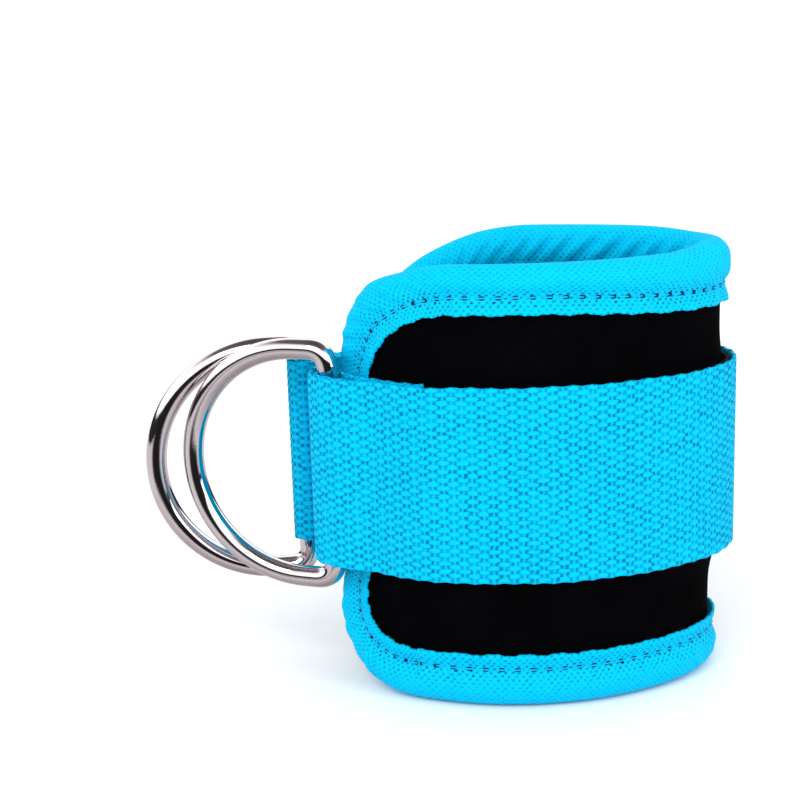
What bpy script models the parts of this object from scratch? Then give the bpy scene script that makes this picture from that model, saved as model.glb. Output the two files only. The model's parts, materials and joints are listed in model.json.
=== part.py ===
"""Padded ankle cuff with two D-rings, closed, standing on its lower edge.

Frame: +Z up, origin on the floor under the middle of the whole object, the
rings towards -X, the near pad end and the strap's outer run towards -Y.
Lengths below are millimetres; shapes are built in metres.

The pad is a flat sheet rolled into an oval. A point of it is given by
  s  the distance along the oval, from the near pad end round to the far end,
  z  the height,
  t  the distance outwards from the middle of the pad's thickness.
"""

import math

import bpy
from mathutils import Vector

MM = 0.001

# Pad
PAD_HEIGHT = 115.0
CORNER_RADIUS = 30.0
FOAM_THICKNESS = 3.2
SKIN_THICKNESS = 0.7
SKIN_LEVEL = 2.25
FOAM_INSET = 1.7
SKIN_INSET = 2.8
PAD_FACE = SKIN_LEVEL + SKIN_THICKNESS / 2

# Middle line of the pad seen from above: near end, near side, right end, far side, far end
PAD_PLAN = (
    (-41.2, 35.2),
    (-36.0, 24.4),
    (-28.0, 15.4),
    (-15.2, 8.5),
    (0.0, 5.8),
    (15.0, 6.6),
    (29.0, 10.4),
    (41.0, 16.2),
    (50.0, 24.0),
    (54.0, 33.0),
    (50.2, 42.4),
    (41.0, 50.2),
    (26.0, 57.0),
    (7.0, 61.2),
    (-12.0, 61.2),
    (-23.0, 58.9),
    (-31.2, 54.4),
    (-37.0, 48.2),
)
# The plan is drawn about the middle of the near side; this moves it to the object's own origin
PLAN_SHIFT = (18.63, -34.5)
STATION_STEP = 4.5
CORNER_STEPS = 8

# Binding tape folded over the pad's edge
BINDING_DEPTH = 14.5
BINDING_THICKNESS = 0.9
BINDING_LEVEL = 3.35
BINDING_FACE = BINDING_LEVEL + BINDING_THICKNESS / 2
SEAM_DEPTH = 10.5
THREAD_RADIUS = 0.2
THREAD_LIFT = 0.3

# Webbing
BAND_WIDTH = 50.0
BAND_MIDDLE = 59.0
WEB_THICKNESS = 1.1
LAYER_GAP = 0.2
LAYER = WEB_THICKNESS + LAYER_GAP
BAND_LOW = BAND_MIDDLE - BAND_WIDTH / 2
BAND_HIGH = BAND_MIDDLE + BAND_WIDTH / 2

# Rings: a straight bar, two short arms and a half circle
WIRE_RADIUS = 2.8
RING_HALF_HEIGHT = 30.8
RING_ARM = 9.4
RING_CORNER = 4.5
NEAR_RING_TURN = 21.0
FAR_RING_TURN = -4.0
BAR_REACH = WIRE_RADIUS + LAYER_GAP + WEB_THICKNESS / 2

# Ring loops: the leaves are sewn down from the pad's end to LOOP_LENGTH
LOOP_LENGTH = 32.0
LOOP_FALL = 15.0
NEAR_BAR_S = 6.5
FAR_BAR_PAST_END = 14.5

# Hook and loop tapes, and the strap's free end
TAPE_THICKNESS = 1.0
TAPE_WIDTH = 49.0
LOOP_PATCH_START = 35.0
HOOK_START_PAST_TIP = 8.0
FREE_END_LENGTH = 28.0
FREE_END_STOP = 37.0
HEM_LENGTH = 11.0
HINGE_GAP = 0.85


# ---------------------------------------------------------------- curves in plan


def smooth_step(value, low, high):
    """0 below low, 1 above high, and a smooth rise between."""
    share = min(max((value - low) / (high - low), 0.0), 1.0)
    return share * share * (3.0 - 2.0 * share)


def spline_points(knots, steps):
    """Points of a Catmull-Rom curve through the knots, its ends run on straight."""
    first = tuple(2 * a - b for a, b in zip(knots[0], knots[1]))
    last = tuple(2 * a - b for a, b in zip(knots[-1], knots[-2]))
    line = [Vector(point) for point in (first, *knots, last)]
    points = []
    for i in range(1, len(line) - 2):
        before, start, end, after = line[i - 1 : i + 3]
        for j in range(steps):
            u = j / steps
            points.append(
                0.5
                * (
                    2 * start
                    + (end - before) * u
                    + (2 * before - 5 * start + 4 * end - after) * u**2
                    + (3 * start - before - 3 * end + after) * u**3
                )
            )
    points.append(line[-2])
    return points


class Plan:
    """The pad's middle line, measured by its own length."""

    def __init__(self, knots):
        self.points = spline_points(knots, 24)
        self.at = [0.0]
        for a, b in zip(self.points, self.points[1:]):
            self.at.append(self.at[-1] + (b - a).length)
        self.length = self.at[-1]
        self.tip = self.at[max(range(len(self.points)), key=lambda i: self.points[i].x)]

    def point(self, s):
        """Position at s; past either end the line runs on straight."""
        if s <= 0.0:
            return self.points[0] + (self.points[1] - self.points[0]).normalized() * s
        if s >= self.length:
            run = (self.points[-1] - self.points[-2]).normalized()
            return self.points[-1] + run * (s - self.length)
        low, high = 0, len(self.at) - 1
        while high - low > 1:
            middle = (low + high) // 2
            if self.at[middle] <= s:
                low = middle
            else:
                high = middle
        share = (s - self.at[low]) / (self.at[high] - self.at[low])
        return self.points[low].lerp(self.points[high], share)

    def along(self, s):
        return (self.point(s + 0.5) - self.point(s - 0.5)).normalized()

    def outwards(self, s):
        run = self.along(s)
        return Vector((run.y, -run.x))

    def place(self, s, t):
        """The plan position at distance t outwards of the pad's middle, at s."""
        return self.point(s) + self.outwards(s) * t + Vector(PLAN_SHIFT)


PLAN = Plan(PAD_PLAN)
HINGE_S = PLAN.length - FREE_END_STOP - FREE_END_LENGTH


def stations(start, end):
    """Distances from start to end. Every sheet shares the inner ones, so their facets stay parallel."""
    count = round(PLAN.length / STATION_STEP)
    step = PLAN.length / count
    shared = [i * step for i in range(-2, count + 3)]
    return [start] + [s for s in shared if start + 0.4 < s < end - 0.4] + [end]


# ---------------------------------------------------------------- levels (t) of the layers


def near_base(s):
    """Underside of the first layer over the near end: over the binding, then down on the cover."""
    over_binding = BINDING_FACE + 0.8
    return over_binding + (PAD_FACE + LAYER_GAP - over_binding) * smooth_step(s, 15.0, 21.0)


def far_base(s):
    return near_base(PLAN.length - s)


LOOP_PATCH_TOP = PAD_FACE + LAYER_GAP + TAPE_THICKNESS
THREAD_ROOM = 2 * THREAD_RADIUS + 0.25
HOOK_LEVEL = LOOP_PATCH_TOP + THREAD_ROOM + TAPE_THICKNESS / 2
TAIL_ON_LOOP = LOOP_PATCH_TOP + THREAD_ROOM + WEB_THICKNESS / 2
TAIL_ON_HOOK = HOOK_LEVEL + TAPE_THICKNESS / 2 + LAYER_GAP + WEB_THICKNESS / 2
HOOK_START = PLAN.tip + HOOK_START_PAST_TIP


def tail_level(s):
    """Middle of the strap's outer run: over the ring, over the near loop, then on the tapes."""
    over_loop = near_base(s) + 2 * LAYER + THREAD_ROOM - LAYER_GAP + WEB_THICKNESS / 2
    over_ring = near_base(0.0) + WEB_THICKNESS / 2 + 2 * BAR_REACH + LAYER
    level = over_ring + (over_loop - over_ring) * smooth_step(s, NEAR_BAR_S, NEAR_BAR_S + LOOP_FALL)
    level += (TAIL_ON_LOOP - level) * smooth_step(s, LOOP_LENGTH + 2.0, LOOP_LENGTH + 9.0)
    return level + (TAIL_ON_HOOK - TAIL_ON_LOOP) * smooth_step(s, HOOK_START - 9.0, HOOK_START - 3.0)


# ---------------------------------------------------------------- building blocks


def material(name, colour, roughness, metallic=0.0):
    made = bpy.data.materials.new(name)
    made.use_nodes = True
    shader = made.node_tree.nodes["Principled BSDF"]
    shader.inputs["Base Color"].default_value = (*colour, 1.0)
    shader.inputs["Roughness"].default_value = roughness
    shader.inputs["Metallic"].default_value = metallic
    return made


WEBBING = material("blue_webbing", (0.0, 0.55, 0.9), 0.75)
BINDING = material("blue_binding", (0.0, 0.55, 0.9), 0.8)
NEOPRENE = material("black_neoprene", (0.012, 0.012, 0.014), 0.85)
FOAM = material("grey_foam", (0.06, 0.06, 0.065), 0.9)
HOOK_TAPE = material("hook_tape", (0.015, 0.015, 0.017), 0.6)
LOOP_TAPE = material("loop_tape", (0.02, 0.02, 0.022), 0.95)
THREAD = material("blue_thread", (0.0, 0.45, 0.8), 0.6)
STEEL = material("polished_steel", (0.8, 0.8, 0.82), 0.12, 1.0)


def sheet(name, rows, thickness, look, closed=False):
    """A solid of even thickness about a grid of points; closed joins the last row to the first."""
    width = len(rows[0])
    points = [Vector(point) * MM for row in rows for point in row]
    pairs = list(zip(range(len(rows)), range(1, len(rows))))
    if closed:
        pairs.append((len(rows) - 1, 0))
    faces = [
        (a * width + i, b * width + i, b * width + i + 1, a * width + i + 1)
        for a, b in pairs
        for i in range(width - 1)
    ]
    mesh = bpy.data.meshes.new(name)
    mesh.from_pydata(points, [], faces)
    mesh.materials.append(look)
    mesh.shade_smooth()
    mesh.set_sharp_from_angle(angle=math.radians(50))
    made = bpy.data.objects.new(name, mesh)
    bpy.context.scene.collection.objects.link(made)
    solidify = made.modifiers.new("Thickness", "SOLIDIFY")
    solidify.thickness = thickness * MM
    solidify.offset = 0.0
    solidify.use_even_offset = True
    return made


def ribbon(name, path, low, high, thickness, look):
    """Webbing or tape: a plan path of (x, y) points between two heights."""
    rows = [((x, y, low), (x, y, high)) for x, y in path]
    return sheet(name, rows, thickness, look)


def on_pad(s_values, level):
    """Plan path that follows the pad, level being a number or a function of s."""
    return [PLAN.place(s, level(s) if callable(level) else level).to_tuple() for s in s_values]


def arc(centre, radius, start, end, steps):
    """Plan points on a circle, without its two ends; angles in degrees."""
    angles = [math.radians(start + (end - start) * i / steps) for i in range(1, steps)]
    return [(centre.x + radius * math.cos(a), centre.y + radius * math.sin(a)) for a in angles]


def wire(name, points, radius, look, sides=4, origin=(0.0, 0.0, 0.0)):
    """A closed loop of round wire or thread through the points, about its own origin."""
    curve = bpy.data.curves.new(name, "CURVE")
    curve.dimensions = "3D"
    curve.bevel_depth = radius * MM
    curve.bevel_resolution = (sides - 4) // 2
    curve.materials.append(look)
    spline = curve.splines.new("POLY")
    spline.points.add(len(points) - 1)
    start = Vector(origin)
    for knot, point in zip(spline.points, points):
        knot.co = (*((Vector(point) - start) * MM), 1.0)
    spline.use_cyclic_u = True
    spline.use_smooth = sides > 4
    made = bpy.data.objects.new(name, curve)
    made.location = start * MM
    bpy.context.scene.collection.objects.link(made)
    return made


# ---------------------------------------------------------------- pad


def pad_outline(inset):
    """(s, z, inward s, inward z) round the pad's edge, its four corners rounded."""
    low, high = inset, PLAN.length - inset
    radius = CORNER_RADIUS - inset
    corners = (
        (high - radius, inset + radius, -90.0),
        (high - radius, PAD_HEIGHT - inset - radius, 0.0),
        (low + radius, PAD_HEIGHT - inset - radius, 90.0),
        (low + radius, inset + radius, 180.0),
    )
    outline = []
    run = [s for s in stations(low + radius, high - radius)[1:-1]]
    for index, (s_mid, z_mid, start) in enumerate(corners):
        for i in range(CORNER_STEPS + 1):
            angle = math.radians(start + 90.0 * i / CORNER_STEPS)
            out_s, out_z = math.cos(angle), math.sin(angle)
            outline.append((s_mid + radius * out_s, z_mid + radius * out_z, -out_s, -out_z))
        if index == 1:
            outline += [(s, PAD_HEIGHT - inset, 0.0, -1.0) for s in reversed(run)]
        if index == 3:
            outline += [(s, inset, 0.0, 1.0) for s in run]
    return outline


def edge_height(s, inset):
    """How far the pad's rounded corners cut into its height at s."""
    radius = CORNER_RADIUS - inset
    into = min(s - inset, PLAN.length - inset - s)
    if into >= radius:
        return inset
    return inset + radius - math.sqrt(max(radius**2 - (radius - into) ** 2, 0.0))


def pad_layer(name, level, thickness, inset, look):
    """One layer of the pad, cut to the pad's outline less the inset."""
    low, high = inset, PLAN.length - inset
    rises = [(CORNER_RADIUS - inset) * (1 - math.cos(math.radians(11.25 * i))) for i in range(8)]
    s_values = [low + rise for rise in rises]
    s_values += stations(CORNER_RADIUS, PLAN.length - CORNER_RADIUS)
    s_values += [high - rise for rise in reversed(rises)]
    rows = []
    for s in s_values:
        x, y = PLAN.place(s, level)
        rise = edge_height(s, inset)
        rows.append(((x, y, rise), (x, y, PAD_HEIGHT - rise)))
    return sheet(name, rows, thickness, look)


def make_pad():
    pad_layer("pad_foam_core", 0.0, FOAM_THICKNESS, FOAM_INSET, FOAM)
    pad_layer("pad_outer_cover", SKIN_LEVEL, SKIN_THICKNESS, SKIN_INSET, NEOPRENE)
    pad_layer("pad_inner_lining", -SKIN_LEVEL, SKIN_THICKNESS, SKIN_INSET, NEOPRENE)


def make_binding():
    """The tape's folded section, swept round the outline. Its fold is flat, so the cuff stands on it."""
    fold = BINDING_THICKNESS / 2
    half = (
        (BINDING_DEPTH, BINDING_LEVEL),
        (10.8, BINDING_LEVEL),
        (7.1, BINDING_LEVEL),
        (3.4, BINDING_LEVEL),
        (1.4, 2.6),
        (fold, 1.2),
    )
    section = [*half, *((depth, -level) for depth, level in reversed(half))]
    rows = []
    for s, z, in_s, in_z in pad_outline(0.0):
        row = []
        for depth, level in section:
            x, y = PLAN.place(s + in_s * depth, level)
            row.append((x, y, z + in_z * depth))
        rows.append(row)
    sheet("edge_binding", rows, BINDING_THICKNESS, BINDING, closed=True)


def make_binding_seam():
    """One line of stitching through the tape: the needle thread outside, the bobbin thread inside."""
    level = BINDING_FACE + THREAD_LIFT
    for name, t in (("binding_outer_seam", level), ("binding_inner_seam", -level)):
        points = []
        for s, z, in_s, in_z in pad_outline(0.0):
            x, y = PLAN.place(s + in_s * SEAM_DEPTH, t)
            points.append((x, y, z + in_z * SEAM_DEPTH))
        wire(name, points, THREAD_RADIUS, THREAD)


def box_seam(name, s_low, s_high, z_low, z_high, level):
    """A closed rectangle of stitching on the surface at the given level, between shared stations."""
    run = stations(s_low, s_high)[1:-1]
    points = []
    for s in run:
        x, y = PLAN.place(s, level(s) if callable(level) else level)
        points.append((x, y, z_low))
    for s in reversed(run):
        x, y = PLAN.place(s, level(s) if callable(level) else level)
        points.append((x, y, z_high))
    return wire(name, points, THREAD_RADIUS, THREAD)


# ---------------------------------------------------------------- rings and their loops


def near_bar():
    """Plan position of the near ring's straight bar."""
    return PLAN.place(NEAR_BAR_S, near_base(0.0) + WEB_THICKNESS / 2 + BAR_REACH)


def far_bar():
    level = far_base(PLAN.length) + LAYER + WEB_THICKNESS / 2 + BAR_REACH
    return PLAN.place(PLAN.length + FAR_BAR_PAST_END, level)


def bearing(direction):
    return math.degrees(math.atan2(direction.y, direction.x))


def loop_path(s_values, first_level, second_level, bar, bar_s, turn):
    """Out along the first leaf, round the bar, and back along the second leaf.

    turn is +1 where the leaves run towards larger s, and -1 where they run back.
    """
    out = PLAN.outwards(bar_s)
    start = bearing(-out)
    going = on_pad(reversed(s_values), first_level)
    back = on_pad(s_values, second_level)
    return going + arc(bar, BAR_REACH, start, start + 180.0 * turn, 10) + back


def make_near_loop():
    s_values = stations(NEAR_BAR_S, LOOP_LENGTH)

    def first(s):
        return near_base(s) + WEB_THICKNESS / 2

    def second(s):
        top = near_base(0.0) + WEB_THICKNESS / 2 + 2 * BAR_REACH
        rest = first(s) + LAYER
        return top + (rest - top) * smooth_step(s, NEAR_BAR_S, NEAR_BAR_S + LOOP_FALL)

    path = loop_path(s_values, first, second, near_bar(), NEAR_BAR_S, 1)
    ribbon("near_ring_loop", path, BAND_LOW, BAND_HIGH, WEB_THICKNESS, WEBBING)

    def seam_level(s):
        return second(s) + WEB_THICKNESS / 2 + THREAD_LIFT

    box_seam("near_loop_outer_seam", 17.0, 32.0, BAND_LOW + 3.0, BAND_HIGH - 3.0, seam_level)
    inside = -(PAD_FACE + THREAD_LIFT)
    box_seam("near_loop_inner_seam", 17.0, 32.0, BAND_LOW + 3.0, BAND_HIGH - 3.0, inside)


def make_far_loop():
    bar_s = PLAN.length + FAR_BAR_PAST_END
    s_values = list(reversed(stations(PLAN.length - LOOP_LENGTH, bar_s)))

    def first(s):
        return far_base(s) + LAYER + WEB_THICKNESS / 2

    def second(s):
        top = far_base(PLAN.length) + LAYER + WEB_THICKNESS / 2 + 2 * BAR_REACH
        rest = first(s) + LAYER
        return top + (rest - top) * smooth_step(bar_s - s, 0.0, LOOP_FALL)

    path = loop_path(s_values, first, second, far_bar(), bar_s, -1)
    ribbon("far_ring_loop", path, BAND_LOW, BAND_HIGH, WEB_THICKNESS, WEBBING)

    def seam_level(s):
        return second(s) + WEB_THICKNESS / 2 + THREAD_LIFT

    low, high = PLAN.length - 32.0, PLAN.length - 17.0
    box_seam("far_loop_outer_seam", low, high, BAND_LOW + 3.0, BAND_HIGH - 3.0, seam_level)
    inside = -(PAD_FACE + THREAD_LIFT)
    box_seam("far_loop_inner_seam", low, high, BAND_LOW + 3.0, BAND_HIGH - 3.0, inside)


def d_ring(name, bar, turn):
    """A D of round wire standing on edge, its bar on the hinge axis. turn is degrees from -X to +Y."""
    outline = []
    inner = RING_HALF_HEIGHT - RING_CORNER
    for i in range(9):
        outline.append((0.0, -inner + 2 * inner * i / 8))
    for i in range(1, 6):
        angle = math.radians(90.0 * i / 6)
        reach = RING_CORNER * (1 - math.cos(angle))
        outline.append((reach, inner + RING_CORNER * math.sin(angle)))
    outline.append((RING_CORNER, RING_HALF_HEIGHT))
    for i in range(25):
        angle = math.radians(90.0 - 180.0 * i / 24)
        reach = RING_ARM + RING_HALF_HEIGHT * math.cos(angle)
        outline.append((reach, RING_HALF_HEIGHT * math.sin(angle)))
    outline.append((RING_CORNER, -RING_HALF_HEIGHT))
    for i in range(5, 0, -1):
        angle = math.radians(90.0 * i / 6)
        reach = RING_CORNER * (1 - math.cos(angle))
        outline.append((reach, -inner - RING_CORNER * math.sin(angle)))
    heading = math.radians(180.0 - turn)
    points = [
        (bar.x + out * math.cos(heading), bar.y + out * math.sin(heading), BAND_MIDDLE + up)
        for out, up in outline
    ]
    return wire(name, points, WIRE_RADIUS, STEEL, sides=12, origin=(bar.x, bar.y, BAND_MIDDLE))


def make_rings():
    d_ring("near_d_ring", near_bar(), NEAR_RING_TURN)
    d_ring("far_d_ring", far_bar(), FAR_RING_TURN)


# ---------------------------------------------------------------- tapes and the strap


def make_tapes():
    low = BAND_MIDDLE - TAPE_WIDTH / 2
    high = BAND_MIDDLE + TAPE_WIDTH / 2
    loop_end = HINGE_S + FREE_END_LENGTH - HEM_LENGTH - 3.0
    path = on_pad(stations(LOOP_PATCH_START, loop_end), PAD_FACE + LAYER_GAP + TAPE_THICKNESS / 2)
    ribbon("loop_patch", path, low, high, TAPE_THICKNESS, LOOP_TAPE)
    box_seam(
        "loop_patch_seam",
        LOOP_PATCH_START + 2.0,
        loop_end - 2.0,
        low + 2.0,
        high - 2.0,
        LOOP_PATCH_TOP + THREAD_LIFT,
    )
    hook_end = HINGE_S - 3.0
    path = on_pad(stations(HOOK_START, hook_end), HOOK_LEVEL)
    ribbon("hook_patch", path, low, high, TAPE_THICKNESS, HOOK_TAPE)
    tail_top = TAIL_ON_HOOK + WEB_THICKNESS / 2 + THREAD_LIFT
    box_seam("hook_patch_seam", HOOK_START + 2.0, hook_end - 2.0, low + 2.0, high - 2.0, tail_top)


def make_tail():
    """The strap: from under the far loop, across the gap, round the near ring, and round the cuff."""
    end = PLAN.length
    start = on_pad(stations(end - LOOP_LENGTH, end), lambda s: far_base(s) + WEB_THICKNESS / 2)
    bar = near_bar()
    reach = BAR_REACH + LAYER
    heading = bearing(PLAN.outwards(NEAR_BAR_S))
    west = 180.0
    leave = Vector(start[-1])
    arrive = bar + Vector((-reach, 0.0))
    pull = 0.35 * (leave - arrive).length
    first = leave + PLAN.along(end) * pull
    second = arrive + Vector((0.0, pull))
    crossing = []
    for i in range(1, 7):
        u = i / 7
        point = (
            leave * (1 - u) ** 3
            + first * 3 * u * (1 - u) ** 2
            + second * 3 * u**2 * (1 - u)
            + arrive * u**3
        )
        crossing.append(point.to_tuple())
    sweep = (heading - west) % 360.0
    wrap = [arrive.to_tuple()] + arc(bar, reach, west, west + sweep, 5)
    run = on_pad(stations(NEAR_BAR_S, HINGE_S - HINGE_GAP), tail_level)
    ribbon("tail_strap", start + crossing + wrap + run, BAND_LOW, BAND_HIGH, WEB_THICKNESS, WEBBING)


def make_free_end():
    """The strap's last stretch, which lifts to open the cuff; its tip is folded back and hemmed."""
    tip = HINGE_S + FREE_END_LENGTH
    out = on_pad(stations(HINGE_S, tip), TAIL_ON_HOOK)
    turn_radius = LAYER / 2
    middle = PLAN.place(tip, TAIL_ON_HOOK - turn_radius)
    start = bearing(PLAN.outwards(tip))
    fold = arc(middle, turn_radius, start, start + 180.0, 6)
    back = on_pad(reversed(stations(tip - HEM_LENGTH, tip)), TAIL_ON_HOOK - LAYER)
    made = ribbon(
        "tail_free_end", out + fold + back, BAND_LOW, BAND_HIGH, WEB_THICKNESS, WEBBING
    )
    top = TAIL_ON_HOOK + WEB_THICKNESS / 2 + THREAD_LIFT
    seam = box_seam(
        "tail_hem_seam", tip - HEM_LENGTH + 2.0, tip - 2.0, BAND_LOW + 3.0, BAND_HIGH - 3.0, top
    )
    hinge = PLAN.place(HINGE_S, TAIL_ON_HOOK)
    pivot = bpy.data.objects.new("tail_end_hinge", None)
    pivot.location = Vector((hinge.x, hinge.y, BAND_MIDDLE)) * MM
    bpy.context.scene.collection.objects.link(pivot)
    bpy.context.view_layer.update()
    for piece in (made, seam):
        piece.parent = pivot
        piece.matrix_parent_inverse = pivot.matrix_world.inverted()


def main():
    make_pad()
    make_binding()
    make_binding_seam()
    make_near_loop()
    make_far_loop()
    make_rings()
    make_tapes()
    make_tail()
    make_free_end()


for old in list(bpy.data.objects):
    bpy.data.objects.remove(old)
main()
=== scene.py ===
"""Looks of the padded ankle cuff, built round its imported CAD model.

The pad is a flat sheet rolled into an oval, as in the CAD: s runs along the oval from the near
pad end to the far one, z is the height and t the distance outwards from the pad's middle.
Lengths below are millimetres; meshes are made in metres.
"""

import json
import math

import bpy
import numpy as np
from mathutils import Matrix, Vector


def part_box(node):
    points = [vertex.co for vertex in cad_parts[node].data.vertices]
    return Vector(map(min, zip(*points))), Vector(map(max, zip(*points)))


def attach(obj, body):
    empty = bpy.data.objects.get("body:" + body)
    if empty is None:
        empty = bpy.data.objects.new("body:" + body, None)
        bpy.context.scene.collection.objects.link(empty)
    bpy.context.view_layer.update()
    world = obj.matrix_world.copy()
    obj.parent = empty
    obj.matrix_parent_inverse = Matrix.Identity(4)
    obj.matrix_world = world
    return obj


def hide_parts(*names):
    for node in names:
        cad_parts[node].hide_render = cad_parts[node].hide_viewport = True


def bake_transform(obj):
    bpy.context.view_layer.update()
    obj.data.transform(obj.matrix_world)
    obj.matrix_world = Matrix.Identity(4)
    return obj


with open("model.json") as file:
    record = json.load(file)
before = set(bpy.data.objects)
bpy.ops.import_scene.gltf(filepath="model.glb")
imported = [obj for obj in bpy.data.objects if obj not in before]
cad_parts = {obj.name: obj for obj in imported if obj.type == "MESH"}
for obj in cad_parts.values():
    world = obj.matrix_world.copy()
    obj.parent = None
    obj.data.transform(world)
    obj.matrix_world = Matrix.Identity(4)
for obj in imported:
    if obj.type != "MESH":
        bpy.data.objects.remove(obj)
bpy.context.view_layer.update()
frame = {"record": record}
MM = 0.001
RANDOM = np.random.default_rng(11)


def cad_box(node):
    """The node's lowest and highest corner, in millimetres."""
    return [np.array(corner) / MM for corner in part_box(node)]


# ---- camera and studio

CAMERA_PLACE = (-13.775, -395.944, 168.361)
CAMERA_PITCH, CAMERA_YAW, CAMERA_ROLL = 0.234, 0.0103, -0.03146
CAMERA_LENS, SENSOR_WIDTH = 69.69, 36.0


def make_camera():
    cp, sp = math.cos(CAMERA_PITCH), math.sin(CAMERA_PITCH)
    ahead = Vector((math.sin(CAMERA_YAW) * cp, math.cos(CAMERA_YAW) * cp, -sp))
    right = ahead.cross(Vector((0, 0, 1))).normalized()
    up = right.cross(ahead)
    cr, sr = math.cos(CAMERA_ROLL), math.sin(CAMERA_ROLL)
    turned_right = right * cr + up * sr
    turned_up = up * cr - right * sr
    camera = bpy.data.objects.new("camera", bpy.data.cameras.new("camera"))
    camera.data.lens = CAMERA_LENS
    camera.data.sensor_width = SENSOR_WIDTH
    camera.data.clip_start, camera.data.clip_end = 0.01, 50.0
    camera.matrix_world = Matrix((turned_right, turned_up, -ahead)).transposed().to_4x4()
    camera.location = Vector(CAMERA_PLACE) * MM
    bpy.context.scene.collection.objects.link(camera)
    bpy.context.scene.camera = camera


def area_light(name, place, target, size, power):
    light = bpy.data.lights.new(name, "AREA")
    light.shape = "RECTANGLE"
    light.size, light.size_y = size
    light.energy = power
    lamp = bpy.data.objects.new(name, light)
    lamp.location = place
    lamp.rotation_euler = (Vector(target) - Vector(place)).to_track_quat("-Z", "Y").to_euler()
    bpy.context.scene.collection.objects.link(lamp)


# ---- node helper


# Added before every wrap, so that only positive numbers are wrapped
WRAP_REPEATS = 1000.0
# How square a yarn's oval is, along and across
OVAL_POWERS = (4.0, 3.0)


class Nodes:
    """Builds shader expressions; numbers and sockets can be mixed."""

    def __init__(self, tree):
        self.tree = tree

    def add(self, kind, **values):
        node = self.tree.nodes.new(kind)
        for key, value in values.items():
            setattr(node, key, value)
        return node

    def plug(self, socket, value):
        if isinstance(value, bpy.types.NodeSocket):
            self.tree.links.new(value, socket)
        elif value is not None:
            socket.default_value = value

    def math(self, operation, a, b=None, c=None, clamp=False):
        node = self.add("ShaderNodeMath", operation=operation, use_clamp=clamp)
        for socket, value in zip(node.inputs, (a, b, c)):
            self.plug(socket, value)
        return node.outputs[0]

    def sum(self, first, *others):
        for other in others:
            first = self.math("ADD", first, other)
        return first

    def minus(self, a, b):
        return self.math("SUBTRACT", a, b)

    def times(self, a, b):
        return self.math("MULTIPLY", a, b)

    def centred(self, value, amount):
        """A 0 to 1 value as a swing of the given amount about zero."""
        return self.times(self.minus(value, 0.5), amount)

    def wrap(self, value, period, shift=0.0):
        """Signed distance to the middle of the repeat that value falls in."""
        moved = self.sum(value, shift + WRAP_REPEATS * period)
        return self.minus(self.math("MODULO", moved, period), period / 2)

    def bump_of(self, a, wide, b, high):
        """1 in the middle of an oval wide by high (half sizes), 0 outside it."""
        part_a, part_b = (
            self.math("POWER", self.math("ABSOLUTE", self.math("DIVIDE", value, half)), power)
            for value, half, power in ((a, wide, OVAL_POWERS[0]), (b, high, OVAL_POWERS[1]))
        )
        return self.math("SQRT", self.math("SUBTRACT", 1.0, self.sum(part_a, part_b), clamp=True))

    def floats(self, u, v, pitch, row, half_length, half_width):
        """Ovals in half-offset columns."""
        ovals = []
        for shift in (0.0, 0.5):
            a, b = self.wrap(u, pitch, shift * pitch), self.wrap(v, row, shift * row)
            ovals.append(self.bump_of(a, half_length, b, half_width))
        return self.math("MAXIMUM", *ovals)

    def noise(self, vector, scale, detail=2.0, roughness=0.5):
        node = self.add("ShaderNodeTexNoise")
        self.plug(node.inputs["Vector"], vector)
        node.inputs["Scale"].default_value = scale
        node.inputs["Detail"].default_value = detail
        node.inputs["Roughness"].default_value = roughness
        return node.outputs["Fac"]

    def ramp(self, value, stops):
        node = self.add("ShaderNodeValToRGB")
        self.plug(node.inputs[0], value)
        elements = node.color_ramp.elements
        while len(elements) < len(stops):
            elements.new(0.5)
        for element, (place, colour) in zip(elements, stops):
            element.position = place
            element.color = (*colour, 1.0)
        return node.outputs[0]

    def spread(self, value, low, high, to_low=0.0, to_high=1.0):
        node = self.add("ShaderNodeMapRange", interpolation_type="SMOOTHSTEP")
        for socket, number in zip(node.inputs, (value, low, high, to_low, to_high)):
            self.plug(socket, number)
        return node.outputs[0]

    def tape_uv(self):
        """The piece's own (along, across) coordinates, in millimetres."""
        split = self.add("ShaderNodeSeparateXYZ")
        uv = self.add("ShaderNodeUVMap", uv_map=TAPE_MAP)
        self.plug(split.inputs[0], uv.outputs[0])
        return uv.outputs[0], split.outputs[0], split.outputs[1]

    def stretched(self, vector, factors):
        node = self.add("ShaderNodeMapping")
        self.plug(node.inputs["Vector"], vector)
        node.inputs["Scale"].default_value = factors
        return node.outputs[0]


TAPE_MAP = "tape_mm"


def tinted(colour, share):
    return tuple(share * c for c in colour)


def material(name, roughness, specular, metallic=0.0):
    made = bpy.data.materials.new(name)
    made.use_nodes = True
    shader = made.node_tree.nodes["Principled BSDF"]
    shader.inputs["Roughness"].default_value = roughness
    shader.inputs["Metallic"].default_value = metallic
    shader.inputs["Specular IOR Level"].default_value = specular
    return made, shader, Nodes(made.node_tree)


def bump(nodes, shader, height, distance, strength):
    node = nodes.add("ShaderNodeBump")
    node.inputs["Strength"].default_value = strength
    node.inputs["Distance"].default_value = distance * MM
    nodes.plug(node.inputs["Height"], height)
    nodes.plug(shader.inputs["Normal"], node.outputs[0])


# ---- materials

# The webbing's weave: its repeat, the floats on its face and the warp stems between them
WEAVE_ALONG, WEAVE_ACROSS = 4.9, 2.15
FLOAT_HALF_LENGTH, FLOAT_HALF_WIDTH = 1.5, 0.66
STEM_HALF_WIDTH, STEM_HEIGHT = 0.34, 0.7
# Ramp colours of the cyan tapes; the darkest stops are painted shade, in the webbing's gaps and in the
# binding's rib valleys
GAP_SHADE_BLUE = (0.0, 0.17, 0.34)
MIDDLE_BLUE = (0.0, 0.36, 0.64)
BRIGHT_BLUE = (0.0, 0.52, 0.84)
# Painted shade inside the binding's needle holes
NEEDLE_HOLE_SHADE_BLUE = (0.0, 0.02, 0.055)


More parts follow.
